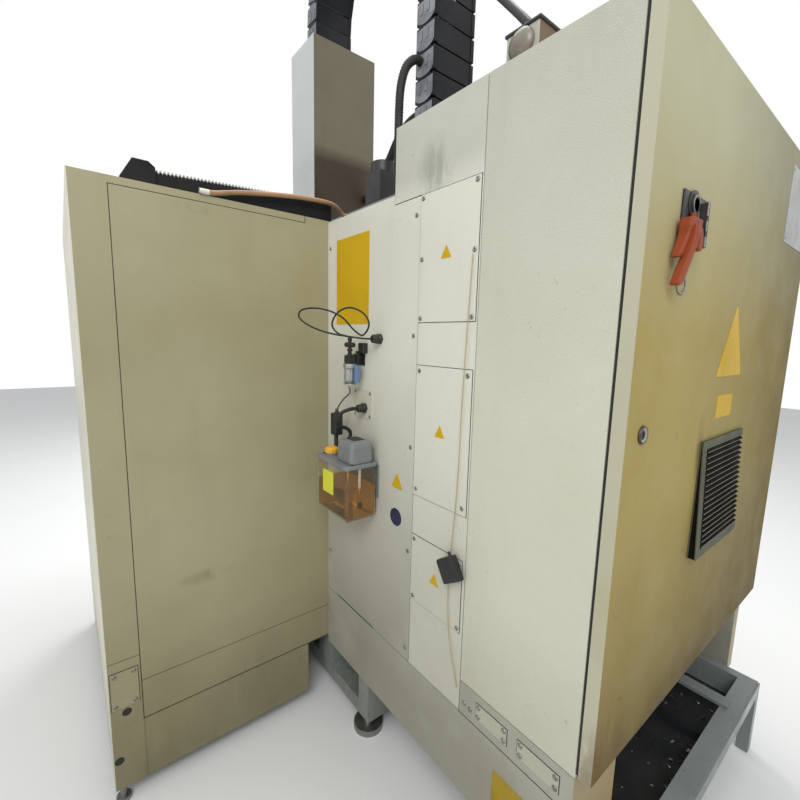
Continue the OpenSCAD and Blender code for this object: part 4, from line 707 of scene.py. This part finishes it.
# Lift-out panel, its dark seams, and the sheet that closes the corner down to the floor
def wing_seams():
    (x0, x1), (z0, z1), corner, foot = (0.482, 1.095), (0.436, 2.023), 0.3855, 0.292
    half = 0.0013
    s = Shape()
    outline = [(corner, z0 + half), (x1 - half, z0 + half), (x1 - half, z1 - half), (x0 - half, z1 - half),
               (x0 - half, ROOF - 0.0005), (corner, ROOF - 0.0005)]
    s.prism([(-x, z) for x, z in outline], facing_y(0, WING_Y - 0.002, 0), 0.0026)
    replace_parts(s.piece("lift_out_panel", "wall"), "wing_panel")
    lines = [((x1, x1), (foot, z1)), ((corner, x1), (z0, z0)), ((x0, x1), (z1, z1)),
             ((x0, x0), (z1, ROOF - 0.002)), ((corner, x1), (foot, foot)), ((x1, 1.186), (0.533, 0.533))]
    for x, z in lines:
        s.box((x[0] - half, WING_Y - 0.001, z[0] - half), (x[1] + half, WING_Y + 0.0003, z[1] + half))
    s.piece("wing_seams", "seam")
    s.box((x1 + half, WING_Y - 0.0024, 0.064), (1.188, WING_Y, 0.2945))
    s.piece("wing_corner_sheet", "wall")
    for x, z in ((1.173, 0.173), (1.142, 0.345)):
        s.lathe([(0.0142, 0.0001), (0.0135, 0.0006)], facing_y(x, WING_Y, z), 28)
    s.piece("wing_corner_holes", "rubber")
    s.box((SIDE_X - 0.001, 0.922, 0.5185), (SIDE_X + 0.0004, 1.2786, 0.5212))
    s.piece("lower_seam", "seam")


wing_seams()


# Cable entries on the side sheet
def cable_entries():
    s = Shape()
    centre = facing_x(SIDE_X, DOOR_Y - 0.9195, 1.3655)
    s.prism(rounded(0.113, 0.101, 0.004), centre, 0.003, 0.0008)
    s.piece("gland_plate", "gland_plate", slot="pale_paint")
    for y in (-0.047, 0.047):
        for z in (-0.041, 0.041):
            domed_screw(s, centre @ shift(y, z, 0.003), 0.0055)
    s.piece("gland_plate_screws", "screw", smooth=True)
    for depth, z, seat in ((0.822, 1.599, 0.0), (0.905, 1.352, 0.003)):
        place = facing_x(SIDE_X + seat, DOOR_Y - depth, z)
        s.lathe([(0.019, 0), (0.019, 0.01), (0.0175, 0.0115)], place, 6)
        s.lathe([(0.015, 0.0115), (0.015, 0.022), (0.014, 0.024), (0.014, 0.03), (0.011, 0.033),
                 (0.0085, 0.0335)], place, 24)
    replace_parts(s.piece("cable_gland_nuts", "black"), "cable_glands")


# Box that hangs on its cord, and the junction box on the neck
def wiring_boxes():
    s = Shape()
    place = shift(0.4078, DOOR_Y - 0.431, 0.955) @ turned(radians(32))
    s.box((-0.014, -0.033, -0.035), (0.01, 0.033, 0.035), 0.003, 3, place)
    s.box((0.0095, -0.03, -0.032), (0.0138, 0.03, 0.032), 0.002, 2, place)
    s.lathe([(0.004, 0), (0.004, 0.01), (0.0025, 0.012)], place @ shift(-0.01, 0.01, 0.035), 12)
    s.piece("hanging_box", "black")
    s.box((0.024, DOOR_Y - 0.561, CAB_TOP), (0.125, DOOR_Y - 0.447, 2.494), 0.004, 2)
    box = s.piece("junction_box", "junction", slot="grey_steel")
    s.box((0.019, DOOR_Y - 0.566, 2.49), (0.13, DOOR_Y - 0.442, 2.5), 0.003, 2)
    s.box((-0.016, DOOR_Y - 0.541, 2.33), (0.024, DOOR_Y - 0.477, 2.4), 0.004, 2)
    s.piece("junction_lid", "black")
    dome = facing_x(0.125, DOOR_Y - 0.505, 2.45)
    s.lathe([(0.043, 0), (0.043, 0.004), (0.041, 0.009), (0.036, 0.014), (0.028, 0.018), (0.018, 0.0205),
             (0.006, 0.0215)], dome, 40)
    s.piece("junction_dome", "dome", smooth=True, slot="grey_steel")
    for x in (0.058, 0.098):
        s.lathe([(0.019, 0), (0.019, 0.008), (0.016, 0.01), (0.016, 0.018), (0.013, 0.02)],
                shift(x, DOOR_Y - 0.503, 2.4995) @ turned(radians(25)), 6)
        s.lathe([(0.017, 0), (0.017, 0.012)], shift(x, 0.44, 2.87) @ turned(pi / 2), 20)
    s.piece("conduit_glands", "black")
    for number, x in enumerate((0.058, 0.098)):
        tube("junction_conduit_%d" % (number + 1),
             [(x, 0.812, 2.503), (x, 0.804, 2.519), (x, 0.775, 2.556), (x, 0.72, 2.62), (x, 0.65, 2.7),
              (x, 0.58, 2.775), (x, 0.51, 2.838), (x, 0.465, 2.864), (x, 0.432, 2.87)], 0.024, "black")
    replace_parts(box, "wiring_boxes")


def levels(x, y, radius, sections):
    """Rounded rectangles one above the other: (height, how far its sides are drawn in)."""
    return [[(px, py, z) for px, py in rounded(x[1] - x[0] - 2 * inset, y[1] - y[0] - 2 * inset,
                                               max(radius - inset, 0.002), 4, (x[0] + x[1]) / 2,
                                               (y[0] + y[1]) / 2)] for z, inset in sections]


# Lubricator on the side sheet
def lubricator():
    s = Shape()
    tank_x, tank_y, base, top = (0.387, 0.517), (0.287, 0.498), 0.975, 1.16
    s.skin(levels(tank_x, tank_y, 0.016, (
        (base, 0.01), (base + 0.006, 0.003), (base + 0.016, 0.0), (top, 0.0), (top, 0.003),
        (base + 0.016, 0.003), (base + 0.004, 0.009))))
    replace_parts(s.piece("oil_tank_shell", "tank", slot="oil_plastic"), "oil_tank")
    s.skin(levels(tank_x, tank_y, 0.016, (
        (base + 0.0045, 0.0095), (base + 0.016, 0.0034), (base + 0.112, 0.0034))))
    s.piece("oil_in_tank", "oil", slot="oil_plastic")
    s.prism(rounded(0.074, 0.082, 0.004, 4), facing_x(tank_x[1], 0.376, 1.092), 0.0008, 0.0003)
    s.piece("oil_tank_label", "label")
    # Level gauge: a pale tube with a dark float, seen through the wall that faces the cabinet door
    s.lathe([(0.0045, 0), (0.0045, 0.12)], shift(0.455, 0.484, 1.036), 14)
    s.piece("level_tube", "gauge")
    s.lathe([(0.007, 0), (0.01, 0.003), (0.01, 0.018), (0.007, 0.021)], shift(0.455, 0.484, 1.016), 18)
    s.piece("level_float", "black")
    # Pump lid, motor cover and connectors
    lid = 1.174
    s.skin(levels((0.384, 0.521), (0.283, 0.502), 0.018, (
        (1.1605, 0.001), (1.163, 0.0), (1.171, 0.0), (lid, 0.003))))
    s.box((0.384, 0.283, 1.04), (0.3868, 0.502, 1.1605), 0.001)
    s.skin(levels((0.404, 0.496), (0.396, 0.496), 0.014, (
        (lid, 0.003), (1.18, 0.0), (1.232, 0.001), (1.243, 0.004), (1.25, 0.01), (1.253, 0.018))))
    s.box((0.408, 0.357, lid), (0.446, 0.393, 1.2), 0.004, 3)
    cap_x, cap_y = 0.476, 0.329
    s.lathe([(0.024, 0), (0.024, 0.008), (0.022, 0.01)], shift(cap_x, cap_y, lid), 32)
    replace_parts(s.piece("oil_pump_body", "lid"), "oil_pump")
    s.box((0.428, 0.42, 1.2525), (0.472, 0.472, 1.2545), 0.001, 1)
    for x in (0.412, 0.488):
        for y in (0.295, 0.49):
            s.lathe([(0.005, 0), (0.005, 0.003), (0.003, 0.004)], shift(x, y, 1.1738), 6)
    s.box((0.409, 0.357, 1.2), (0.445, 0.393, 1.226), 0.005, 3)
    plug = shift(0.427, 0.375, 1.212)
    s.lathe([(0.014, 0), (0.014, 0.006), (0.012, 0.007), (0.012, 0.018), (0.0105, 0.019), (0.0105, 0.026),
             (0.008, 0.03)],
            plug, 20)
    # Connector on a ribbed stem: the oil hose leaves its top
    stem = shift(0.44, 0.299, 1.1735)
    ribs = [(0.0085 - 0.0012 * (k % 2), 0.003 + 0.004 * k) for k in range(17)]
    s.lathe([(0.011, 0), (0.011, 0.003)] + ribs, stem, 16)
    s.box((0.423, 0.283, 1.24), (0.457, 0.32, 1.322), 0.005, 3)
    s.box((0.427, 0.28, 1.262), (0.453, 0.323, 1.3), 0.003, 2)
    s.lathe([(0.01, 0), (0.01, 0.006), (0.0065, 0.01), (0.0055, 0.02)], shift(0.4445, 0.311, 1.32), 16)
    s.piece("pump_connectors", "black")
    ridged = []
    for k, a in enumerate(angles(48)):
        r = 0.025 if k % 4 < 2 else 0.0238
        ridged.append((cap_x + r * cos(a), cap_y + r * sin(a)))
    small, tiny = [[(cap_x + (x - cap_x) * share, cap_y + (y - cap_y) * share) for x, y in ridged]
                   for share in (0.86, 0.62)]
    s.skin([[(x, y, z) for x, y in outline]
            for outline, z in ((ridged, 1.1843), (ridged, 1.198), (small, 1.2015), (tiny, 1.2045))])
    s.lathe([(0.0172, 0), (0.0172, 0.021)], shift(cap_x, cap_y, 1.164), 24)
    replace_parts(s.piece("oil_cap_ridged", "cap", "oil_cap", slot="orange_plastic"), "oil_cap")


# Air regulator under the cable entries
def regulator():
    x, y, z = 0.43, 0.375, 1.5
    bowl = shift(x, y, z)
    s = Shape()
    s.box((0.384, y - 0.03, z + 0.004), (0.3875, y + 0.03, z + 0.054), 0.001)
    s.box((0.3875, y - 0.014, z + 0.012), (x - 0.02, y + 0.014, z + 0.044), 0.002)
    s.box((0.384, y + 0.012, z + 0.048), (0.404, y + 0.046, z + 0.084), 0.003)
    s.piece("regulator_bracket", "black")
    s.box((x - 0.015, y - 0.016, z + 0.01), (x + 0.015, y + 0.016, z + 0.04), 0.004, 3)
    knob = shift(x, y, z + 0.04)
    s.lathe([(0.009, 0), (0.009, 0.004), (0.007, 0.005), (0.007, 0.014), (0.01, 0.015), (0.01, 0.022),
             (0.0065, 0.023), (0.0065, 0.028), (0.0105, 0.029), (0.0105, 0.043), (0.0065, 0.044),
             (0.0065, 0.051), (0.008, 0.052), (0.008, 0.058), (0.005, 0.064)], knob, 12)
    for side in (-1, 1):
        way = shift(x, y + side * 0.006, z + 0.076) @ turned(-side * pi / 2)
        s.lathe([(0.007, 0), (0.007, 0.01), (0.009, 0.011), (0.009, 0.018), (0.006, 0.02)], way, 12)
    fittings = s.piece("regulator_fittings", "black")
    s.box((x - 0.026, y + 0.004, z - 0.056), (x - 0.006, y + 0.032, z + 0.006), 0.004, 3)
    s.piece("regulator_block", "regulator")
    s.lathe([(0.0225, -0.004), (0.0225, 0.01)], bowl, 32)
    for k in range(6):
        a = pi * k / 3
        s.lathe([(0.0014, -0.06), (0.0014, 0.0)], shift(x + 0.0218 * cos(a), y + 0.0218 * sin(a), z), 8)
    s.lathe([(0.0225, -0.064), (0.0225, -0.06)], bowl, 32)
    s.piece("regulator_cage", "plate")
    s.lathe([(0.006, -0.074), (0.006, -0.064), (0.012, -0.062), (0.0185, -0.058), (0.02, -0.052),
             (0.02, -0.004), (0.0182, -0.004), (0.0182, -0.05), (0.0165, -0.056), (0.004, -0.06)],
            bowl, 32)
    s.piece("regulator_bowl", "bowl")
    s.lathe([(0.008, -0.054), (0.0125, -0.05), (0.0125, -0.01), (0.008, -0.004)], bowl, 24)
    s.piece("regulator_element", "gauge")
    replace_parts(fittings, "air_regulator")


lubricator()
regulator()


# Round-headed screws of the sheets and covers
def domed_screw(s, place, radius=0.007):
    sections = ((1, 0), (1, 0.0006), (0.93, 0.0017), (0.74, 0.0027), (0.42, 0.0032), (0.4, 0.002))
    s.lathe([(radius * share, height) for share, height in sections], place, 18)


def screws():
    s = Shape()
    spots = []
    for depths, heights in (((615, 411), (1662, 1831, 2000)), ((612, 415), (1137, 1507)),
                            ((613, 414), (774, 970))):
        spots += [(depth, z, 2) for z in heights for depth in depths]
    spots += [(646, z, 0) for z in (564, 913, 1262, 1611, 1961)]
    for depths in ((231, 318), (80, 179)):
        spots += [(depth, z, 2) for z in (557, 586) for depth in depths]
    spots += [(1160, 1940, 0), (1160, 700, 0), (372, 560, 0), (350, 556, 0)]
    for depth, z, out in spots:
        domed_screw(s, facing_x(SIDE_X + out / 1000, DOOR_Y - depth / 1000, z / 1000))
    for x in (1.115, 1.172):
        for z in (0.378, 0.486):
            domed_screw(s, facing_y(x, WING_Y + 0.0035, z))
    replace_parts(s.piece("round_head_screws", "screw", smooth=True), "panel_screws")


screws()
cable_entries()
wiring_boxes()


# Main switch handle: two splayed arms
def arm(s, spots):
    """A tapering bar through (x, y, z, half width, half depth) sections, each with rounded corners."""
    s.skin([[(x + px, y + py, z) for px, py in rounded(2 * wide, 2 * deep, min(wide, deep) * 0.4, 3)]
            for x, y, z, wide, deep in spots])


def switch():
    s = Shape()
    s.box((0.109, DOOR_Y, 1.822), (0.24, DOOR_Y + 0.005, 1.909), 0.0015, 2)
    s.lathe([(0.029, 0), (0.029, 0.002), (0.028, 0.003)], facing_y(0.19, DOOR_Y + 0.005, 1.886), 32)
    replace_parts(s.piece("switch_base", "black", "cabinet_door"), "switch_plate")
    arm(s, [(0.228, 1.333, 1.849, 0.026, 0.012), (0.23, 1.333, 1.847, 0.028, 0.013),
            (0.234, 1.333, 1.832, 0.027, 0.013), (0.243, 1.332, 1.818, 0.018, 0.011),
            (0.256, 1.331, 1.8, 0.012, 0.01), (0.27, 1.329, 1.777, 0.01, 0.009),
            (0.273, 1.3285, 1.772, 0.008, 0.007)])
    arm(s, [(0.232, 1.341, 1.836, 0.014, 0.009), (0.236, 1.342, 1.82, 0.013, 0.011),
            (0.243, 1.341, 1.796, 0.011, 0.01), (0.252, 1.338, 1.77, 0.01, 0.009),
            (0.264, 1.334, 1.737, 0.0105, 0.0095), (0.271, 1.332, 1.721, 0.01, 0.009),
            (0.272, 1.3315, 1.718, 0.008, 0.007)])
    arm(s, [(0.224, 1.344, 1.83, 0.009, 0.007), (0.225, 1.347, 1.808, 0.009, 0.007),
            (0.225, 1.347, 1.79, 0.009, 0.006), (0.225, 1.347, 1.787, 0.007, 0.005)])
    s.box((0.186, 1.322, 1.842), (0.21, 1.33, 1.868), 0.003, 2)
    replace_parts(s.piece("main_switch_arms", "orange", "switch_handle"), "switch_handle")
    hub = facing_y(0.19, DOOR_Y + 0.0082, 1.886)
    s.lathe([(0.022, 0), (0.022, 0.002), (0.021, 0.003), (0.013, 0.003), (0.012, 0.001)], hub, 32)
    s.box((0.172, 1.328, 1.8), (0.18, 1.345, 1.89), 0.002, 2)
    s.piece("switch_hub", "black", "switch_handle")
    s.lathe([(0.0185, 0.0029), (0.0185, 0.0036), (0.0175, 0.004), (0.016, 0.0036), (0.016, 0.0029)],
            hub, 32)
    for low, high in ((1.801, 1.822), (1.832, 1.852), (1.862, 1.892)):
        s.box((0.1795, 1.3425, low), (0.1815, 1.3455, high), 0.0006, 1)
    s.piece("switch_bright_edges", "plate", "switch_handle")
    spot = facing_y(0.197, DOOR_Y + 0.0002, 1.727)
    section = ((0.021, 0.0), (0.0205, 0.0022), (0.0158, 0.0022), (0.015, 0.0))
    s.skin([[spot @ Vector((r * cos(a) * 1.26, r * sin(a), h)) for r, h in section]
            for a in angles(36)], False, True)
    s.piece("switch_ring", "screw", "cabinet_door", True)


switch()


# Door lock: a bright rim round a dark keyhole
def lock():
    s = Shape()
    centre = facing_y(0.311, DOOR_Y + 0.0001, 1.418)
    s.lathe([(0.0195, 0), (0.0195, 0.002), (0.018, 0.005), (0.0165, 0.0056), (0.0151, 0.005),
             (0.0151, 0.0003)], centre, 40)
    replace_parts(s.piece("lock_rim", "lock_rim", "door_lock", True), "door_lock")
    s.lathe([(0.015, 0.0006), (0.015, 0.005), (0.0128, 0.0042), (0.01, 0.0014)], centre, 40)
    s.piece("lock_liner", "plate", "door_lock", True)
    s.lathe([(0.0104, 0.0012), (0.0102, 0.0026)], centre, 32)
    s.box((-0.0025, -0.008, 0.0014), (0.0025, 0.008, 0.0026), 0.0005, 1, centre)
    s.piece("lock_core", "black", "door_lock")


lock()


# Louvred grille: a wedge-shaped frame with slanted slats. The near-black slats, side faces and back are
# painted shade in the slots, with some rust on the side faces; the pale lips on the slats' front edges are
# painted highlights.
GRILLE_X, GRILLE_Z, RAIL, SLATS = (-0.4, -0.053), (1.035, 1.355), 0.022, 18


def proud(z):
    """How far the grille's front stands off the door at one height."""
    return 0.007 + 0.014 * (GRILLE_Z[1] - z) / (GRILLE_Z[1] - GRILLE_Z[0])


def upright(s, x, z, drop):
    """A bar of the frame from the door to the grille's front."""
    s.skin([[(x[0], DOOR_Y, h), (x[1], DOOR_Y, h), (x[1], DOOR_Y + proud(h) - drop, h),
             (x[0], DOOR_Y + proud(h) - drop, h)] for h in z])


def grille():
    (x0, x1), (z0, z1) = GRILLE_X, GRILLE_Z
    side, sheet = 0.03, 0.0025
    s = Shape()
    inner = x1 - side
    for x, z in (((inner, x1), (z0, z1)), ((x0, inner), (z0, z0 + RAIL)), ((x0, inner), (z1 - RAIL, z1))):
        s.skin([[(x[0], DOOR_Y + proud(h) - sheet, h), (x[1], DOOR_Y + proud(h) - sheet, h),
                 (x[1], DOOR_Y + proud(h), h), (x[0], DOOR_Y + proud(h), h)] for h in z])
    s.box((x1 - 0.002, DOOR_Y, z0), (x1, DOOR_Y + 0.0035, z1))
    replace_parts(s.piece("grille_frame", "grille", "cabinet_door"), "louvre_grille")
    slats, lips = Shape(), Shape()
    upright(slats, (x1 - 0.016, x1 - 0.003), (z0, z1 - 0.002), sheet + 0.0002)
    upright(slats, (x0, x0 + 0.01), (z0, z1 - 0.002), sheet + 0.004)
    upright(slats, (x0, x1 - 0.004), (z0 + 0.002, z0 + 0.006), sheet + 0.001)
    slats.box((x0 + 0.002, DOOR_Y + 0.0002, z0 + 0.002), (x1 - 0.002, DOOR_Y + 0.0012, z1 - 0.002))
    pitch = (z1 - z0 - 2 * RAIL) / SLATS
    for k in range(SLATS):
        z = z0 + RAIL + (k + 0.45) * pitch
        front = DOOR_Y + proud(z) + 0.003
        back, lip = DOOR_Y + 0.001, 0.0005
        slat = ((back, z + 0.009), (front, z), (front, z - 0.0012), (back, z + 0.0078))
        edge = ((front - lip, z + 0.0003), (front + lip, z), (front + lip, z - 0.0013),
                (front - lip, z - 0.0013))
        for group, spots in ((slats, slat), (lips, edge)):
            group.skin([[(x, y, h) for y, h in spots] for x in (x0 + 0.004, inner + 0.001)])
    slats.piece("grille_slats", "slat", "cabinet_door")
    lips.piece("grille_slat_lips", "slat_lip_highlight", "cabinet_door")


grille()


# Coolant left in the tray, with chips
def coolant():
    x0, x1, y0, y1, z = -0.7995, 0.1055, 0.6595, 1.3275, 0.2
    s = Shape()
    across, deep = 60, 46
    grid = []
    for i in range(across + 1):
        x = x0 + (x1 - x0) * i / across
        line = [y0 + (y1 - y0) * j / deep for j in range(deep + 1)]
        grid.append(s.points(
            (x, y, z + 0.0012 * sin(37 * x + 5 * sin(9 * y)) * cos(23 * y)) for y in line))
    for a, b in zip(grid, grid[1:]):
        for j in range(deep):
            s.face(a[j], b[j], b[j + 1], a[j + 1])
    s.piece("coolant_surface", "coolant", smooth=True)
    for k in range(160):
        x, y = rng.uniform(x0 + 0.02, x1 - 0.02), y0 + (y1 - y0) * rng.random() ** 0.7
        size = rng.uniform(0.002, 0.006)
        turn = (shift(x, y, z + 0.003) @ Matrix.Rotation(rng.uniform(0, 6.28), 4, "Z")
                @ turned(rng.uniform(-0.5, 0.5)))
        curl = s.points(turn @ Vector((size * (c - 1.5), w * size * 0.5, size * 0.5 * sin(c * 1.1)))
                        for c in range(4) for w in (-1, 1))
        for c in range(3):
            s.face(curl[2 * c], curl[2 * c + 1], curl[2 * c + 3], curl[2 * c + 2])
    s.piece("metal_chips", "screw")


coolant()


# Painted highlight: a pale strip along the crest of each fold of the roof cover, where light catches the
# folds; and the sleeve at the roof hose's end
def fold_edges():
    first, last, folds = 0.36, 0.969, 56
    pitch = (last - first) / folds
    s = Shape()
    for i in range(folds):
        x = first + (i + 0.5) * pitch
        crest = ROOF + 0.047 + (folds - i) * 0.0005
        s.box((x - 0.0022, -0.345, crest - 0.005), (x + 0.0022, 0.1165, crest + 0.0012), 0.0006, 1)
    s.piece("fold_crest_highlights", "fold_highlight")
    s.prism([(x * 0.0088, y * 0.0088) for x, y in rounded(2, 2, 1, 5)],
            facing_x(0.82, WING_Y + 0.003, ROOF + 0.0095), 0.03, 0.002)
    s.piece("hose_sleeve", "gauge")


fold_edges()


# Pendant: screen, coloured keys and trims
def pendant():
    face = -1.365
    out = Matrix(((1, 0, 0, 0), (0, 0, -1, 0), (0, 1, 0, 0), (0, 0, 0, 1)))

    def at(x, z, depth=0.0):
        return shift(x, face - depth, z) @ out

    s = Shape()
    s.prism(rounded(0.246, 0.216, 0.006), at(1.02, 1.553, -0.0028), 0.0012, 0.0004)
    s.piece("pendant_screen", "screen", "pendant")
    outer, inner = rounded(0.268, 0.238, 0.01), rounded(0.244, 0.214, 0.006)
    s.collar(outer, inner, at(1.02, 1.553), (0.0, 0.003, 0.003, -0.0015))
    s.piece("pendant_bezel", "black", "pendant")
    columns, rows, pitch = 6, 4, 0.042
    for look in ("key_grey", "key_dark", "key_blue"):
        for i in range(columns):
            for j in range(rows):
                own = "key_dark" if i == columns - 1 else "key_grey" if (i + j) % 5 else "key_blue"
                if look == own:
                    s.prism(rounded(0.0325, 0.0305, 0.004, 3),
                            at(0.916 + i * pitch, 1.265 + j * pitch, 0.0002), 0.004, 0.0012)
        s.piece("pendant_" + look, look, "pendant", slot="grey_plastic")
    s.lathe([(0.024, 0), (0.024, 0.002), (0.021, 0.0035), (0.0205, 0.0035), (0.0205, 0.001)],
            at(1.11, 1.18), 32)
    s.piece("stop_collar", "yellow", "pendant")
    s.lathe([(0.0145, 0), (0.0145, 0.0015), (0.0125, 0.003), (0.0123, 0.001)], at(0.93, 1.18), 32)
    s.piece("start_collar", "screw", "pendant")


pendant()


# Window gaskets of the sliding doors
def gaskets():
    for side, body in ((-1, "front_door_left"), (1, "front_door_right")):
        s = Shape()
        outer, inner = rounded(0.395, 0.69, 0.012), rounded(0.375, 0.67, 0.006)
        place = Matrix(((1, 0, 0, side * 0.2875), (0, 0, -1, FRONT_Y), (0, 1, 0, 1.46), (0, 0, 0, 1)))
        s.collar(outer, inner, place, (0.0, 0.002, 0.004, -0.011))
        s.piece("window_gasket_" + ("left" if side < 0 else "right"), "rubber", body)


gaskets()


# Stage and light
FLOOR = 14.0


def stage_plane(name, matrix, shade, size):
    s = Shader(name + "_white")
    cloud = s.span(s.noise(0.8, 2.0), 0.3, 0.7, 0.0, 0.25)
    s.set("Base Color", s.mix(cloud, shade, tuple(c * 0.96 for c in shade)))
    s.set("Roughness", 0.9)
    floor = Shape()
    bmesh.ops.create_grid(floor.bm, x_segments=2, y_segments=2, size=size, matrix=matrix)
    add_object(name, floor.mesh(name, s.material))


stage_plane("studio_floor", Matrix.Identity(4), (0.8, 0.8, 0.79), FLOOR)


def area_light(name, place, target, size, power):
    data = bpy.data.lights.new(name, "AREA")
    data.shape = "RECTANGLE"
    data.size, data.size_y = size
    data.energy = power
    made = add_object(name, data)
    made.location = place
    made.rotation_euler = (Vector(target) - Vector(place)).to_track_quat("-Z", "Y").to_euler()


area_light("key_light", (3.2, 3.4, 4.6), (0.0, 0.2, 1.2), (3.0, 2.2), 150)
area_light("top_light", (-0.8, -0.6, 6.5), (0.0, 0.0, 1.0), (5.0, 3.0), 180)
area_light("front_light", (-2.6, -4.2, 3.4), (0.0, -0.8, 1.2), (3.0, 2.2), 120)


def studio_world():
    """White where the camera sees it, straight, mirrored or through glass, and a soft light for the rest."""
    world = bpy.data.worlds.new("studio")
    scene.world = world
    world.use_nodes = True
    tree = world.node_tree
    tree.nodes.clear()
    rays = new_node(tree, "LightPath", {}).outputs
    seen = rays["Is Camera Ray"]
    for name in ("Is Glossy Ray", "Is Transmission Ray"):
        seen = new_node(tree, "Math", {0: seen, 1: rays[name]}, operation="MAXIMUM").outputs[0]
    light = new_node(tree, "Background", {"Color": (0.95, 0.98, 1.0, 1.0), "Strength": 0.62})
    white = new_node(tree, "Background", {"Color": (1.0, 1.0, 1.0, 1.0)})
    blend = new_node(tree, "MixShader", {"Fac": seen, 1: light.outputs[0], 2: white.outputs[0]})
    new_node(tree, "OutputWorld", {"Surface": blend.outputs[0]})


studio_world()
scene.view_settings.view_transform = "Standard"
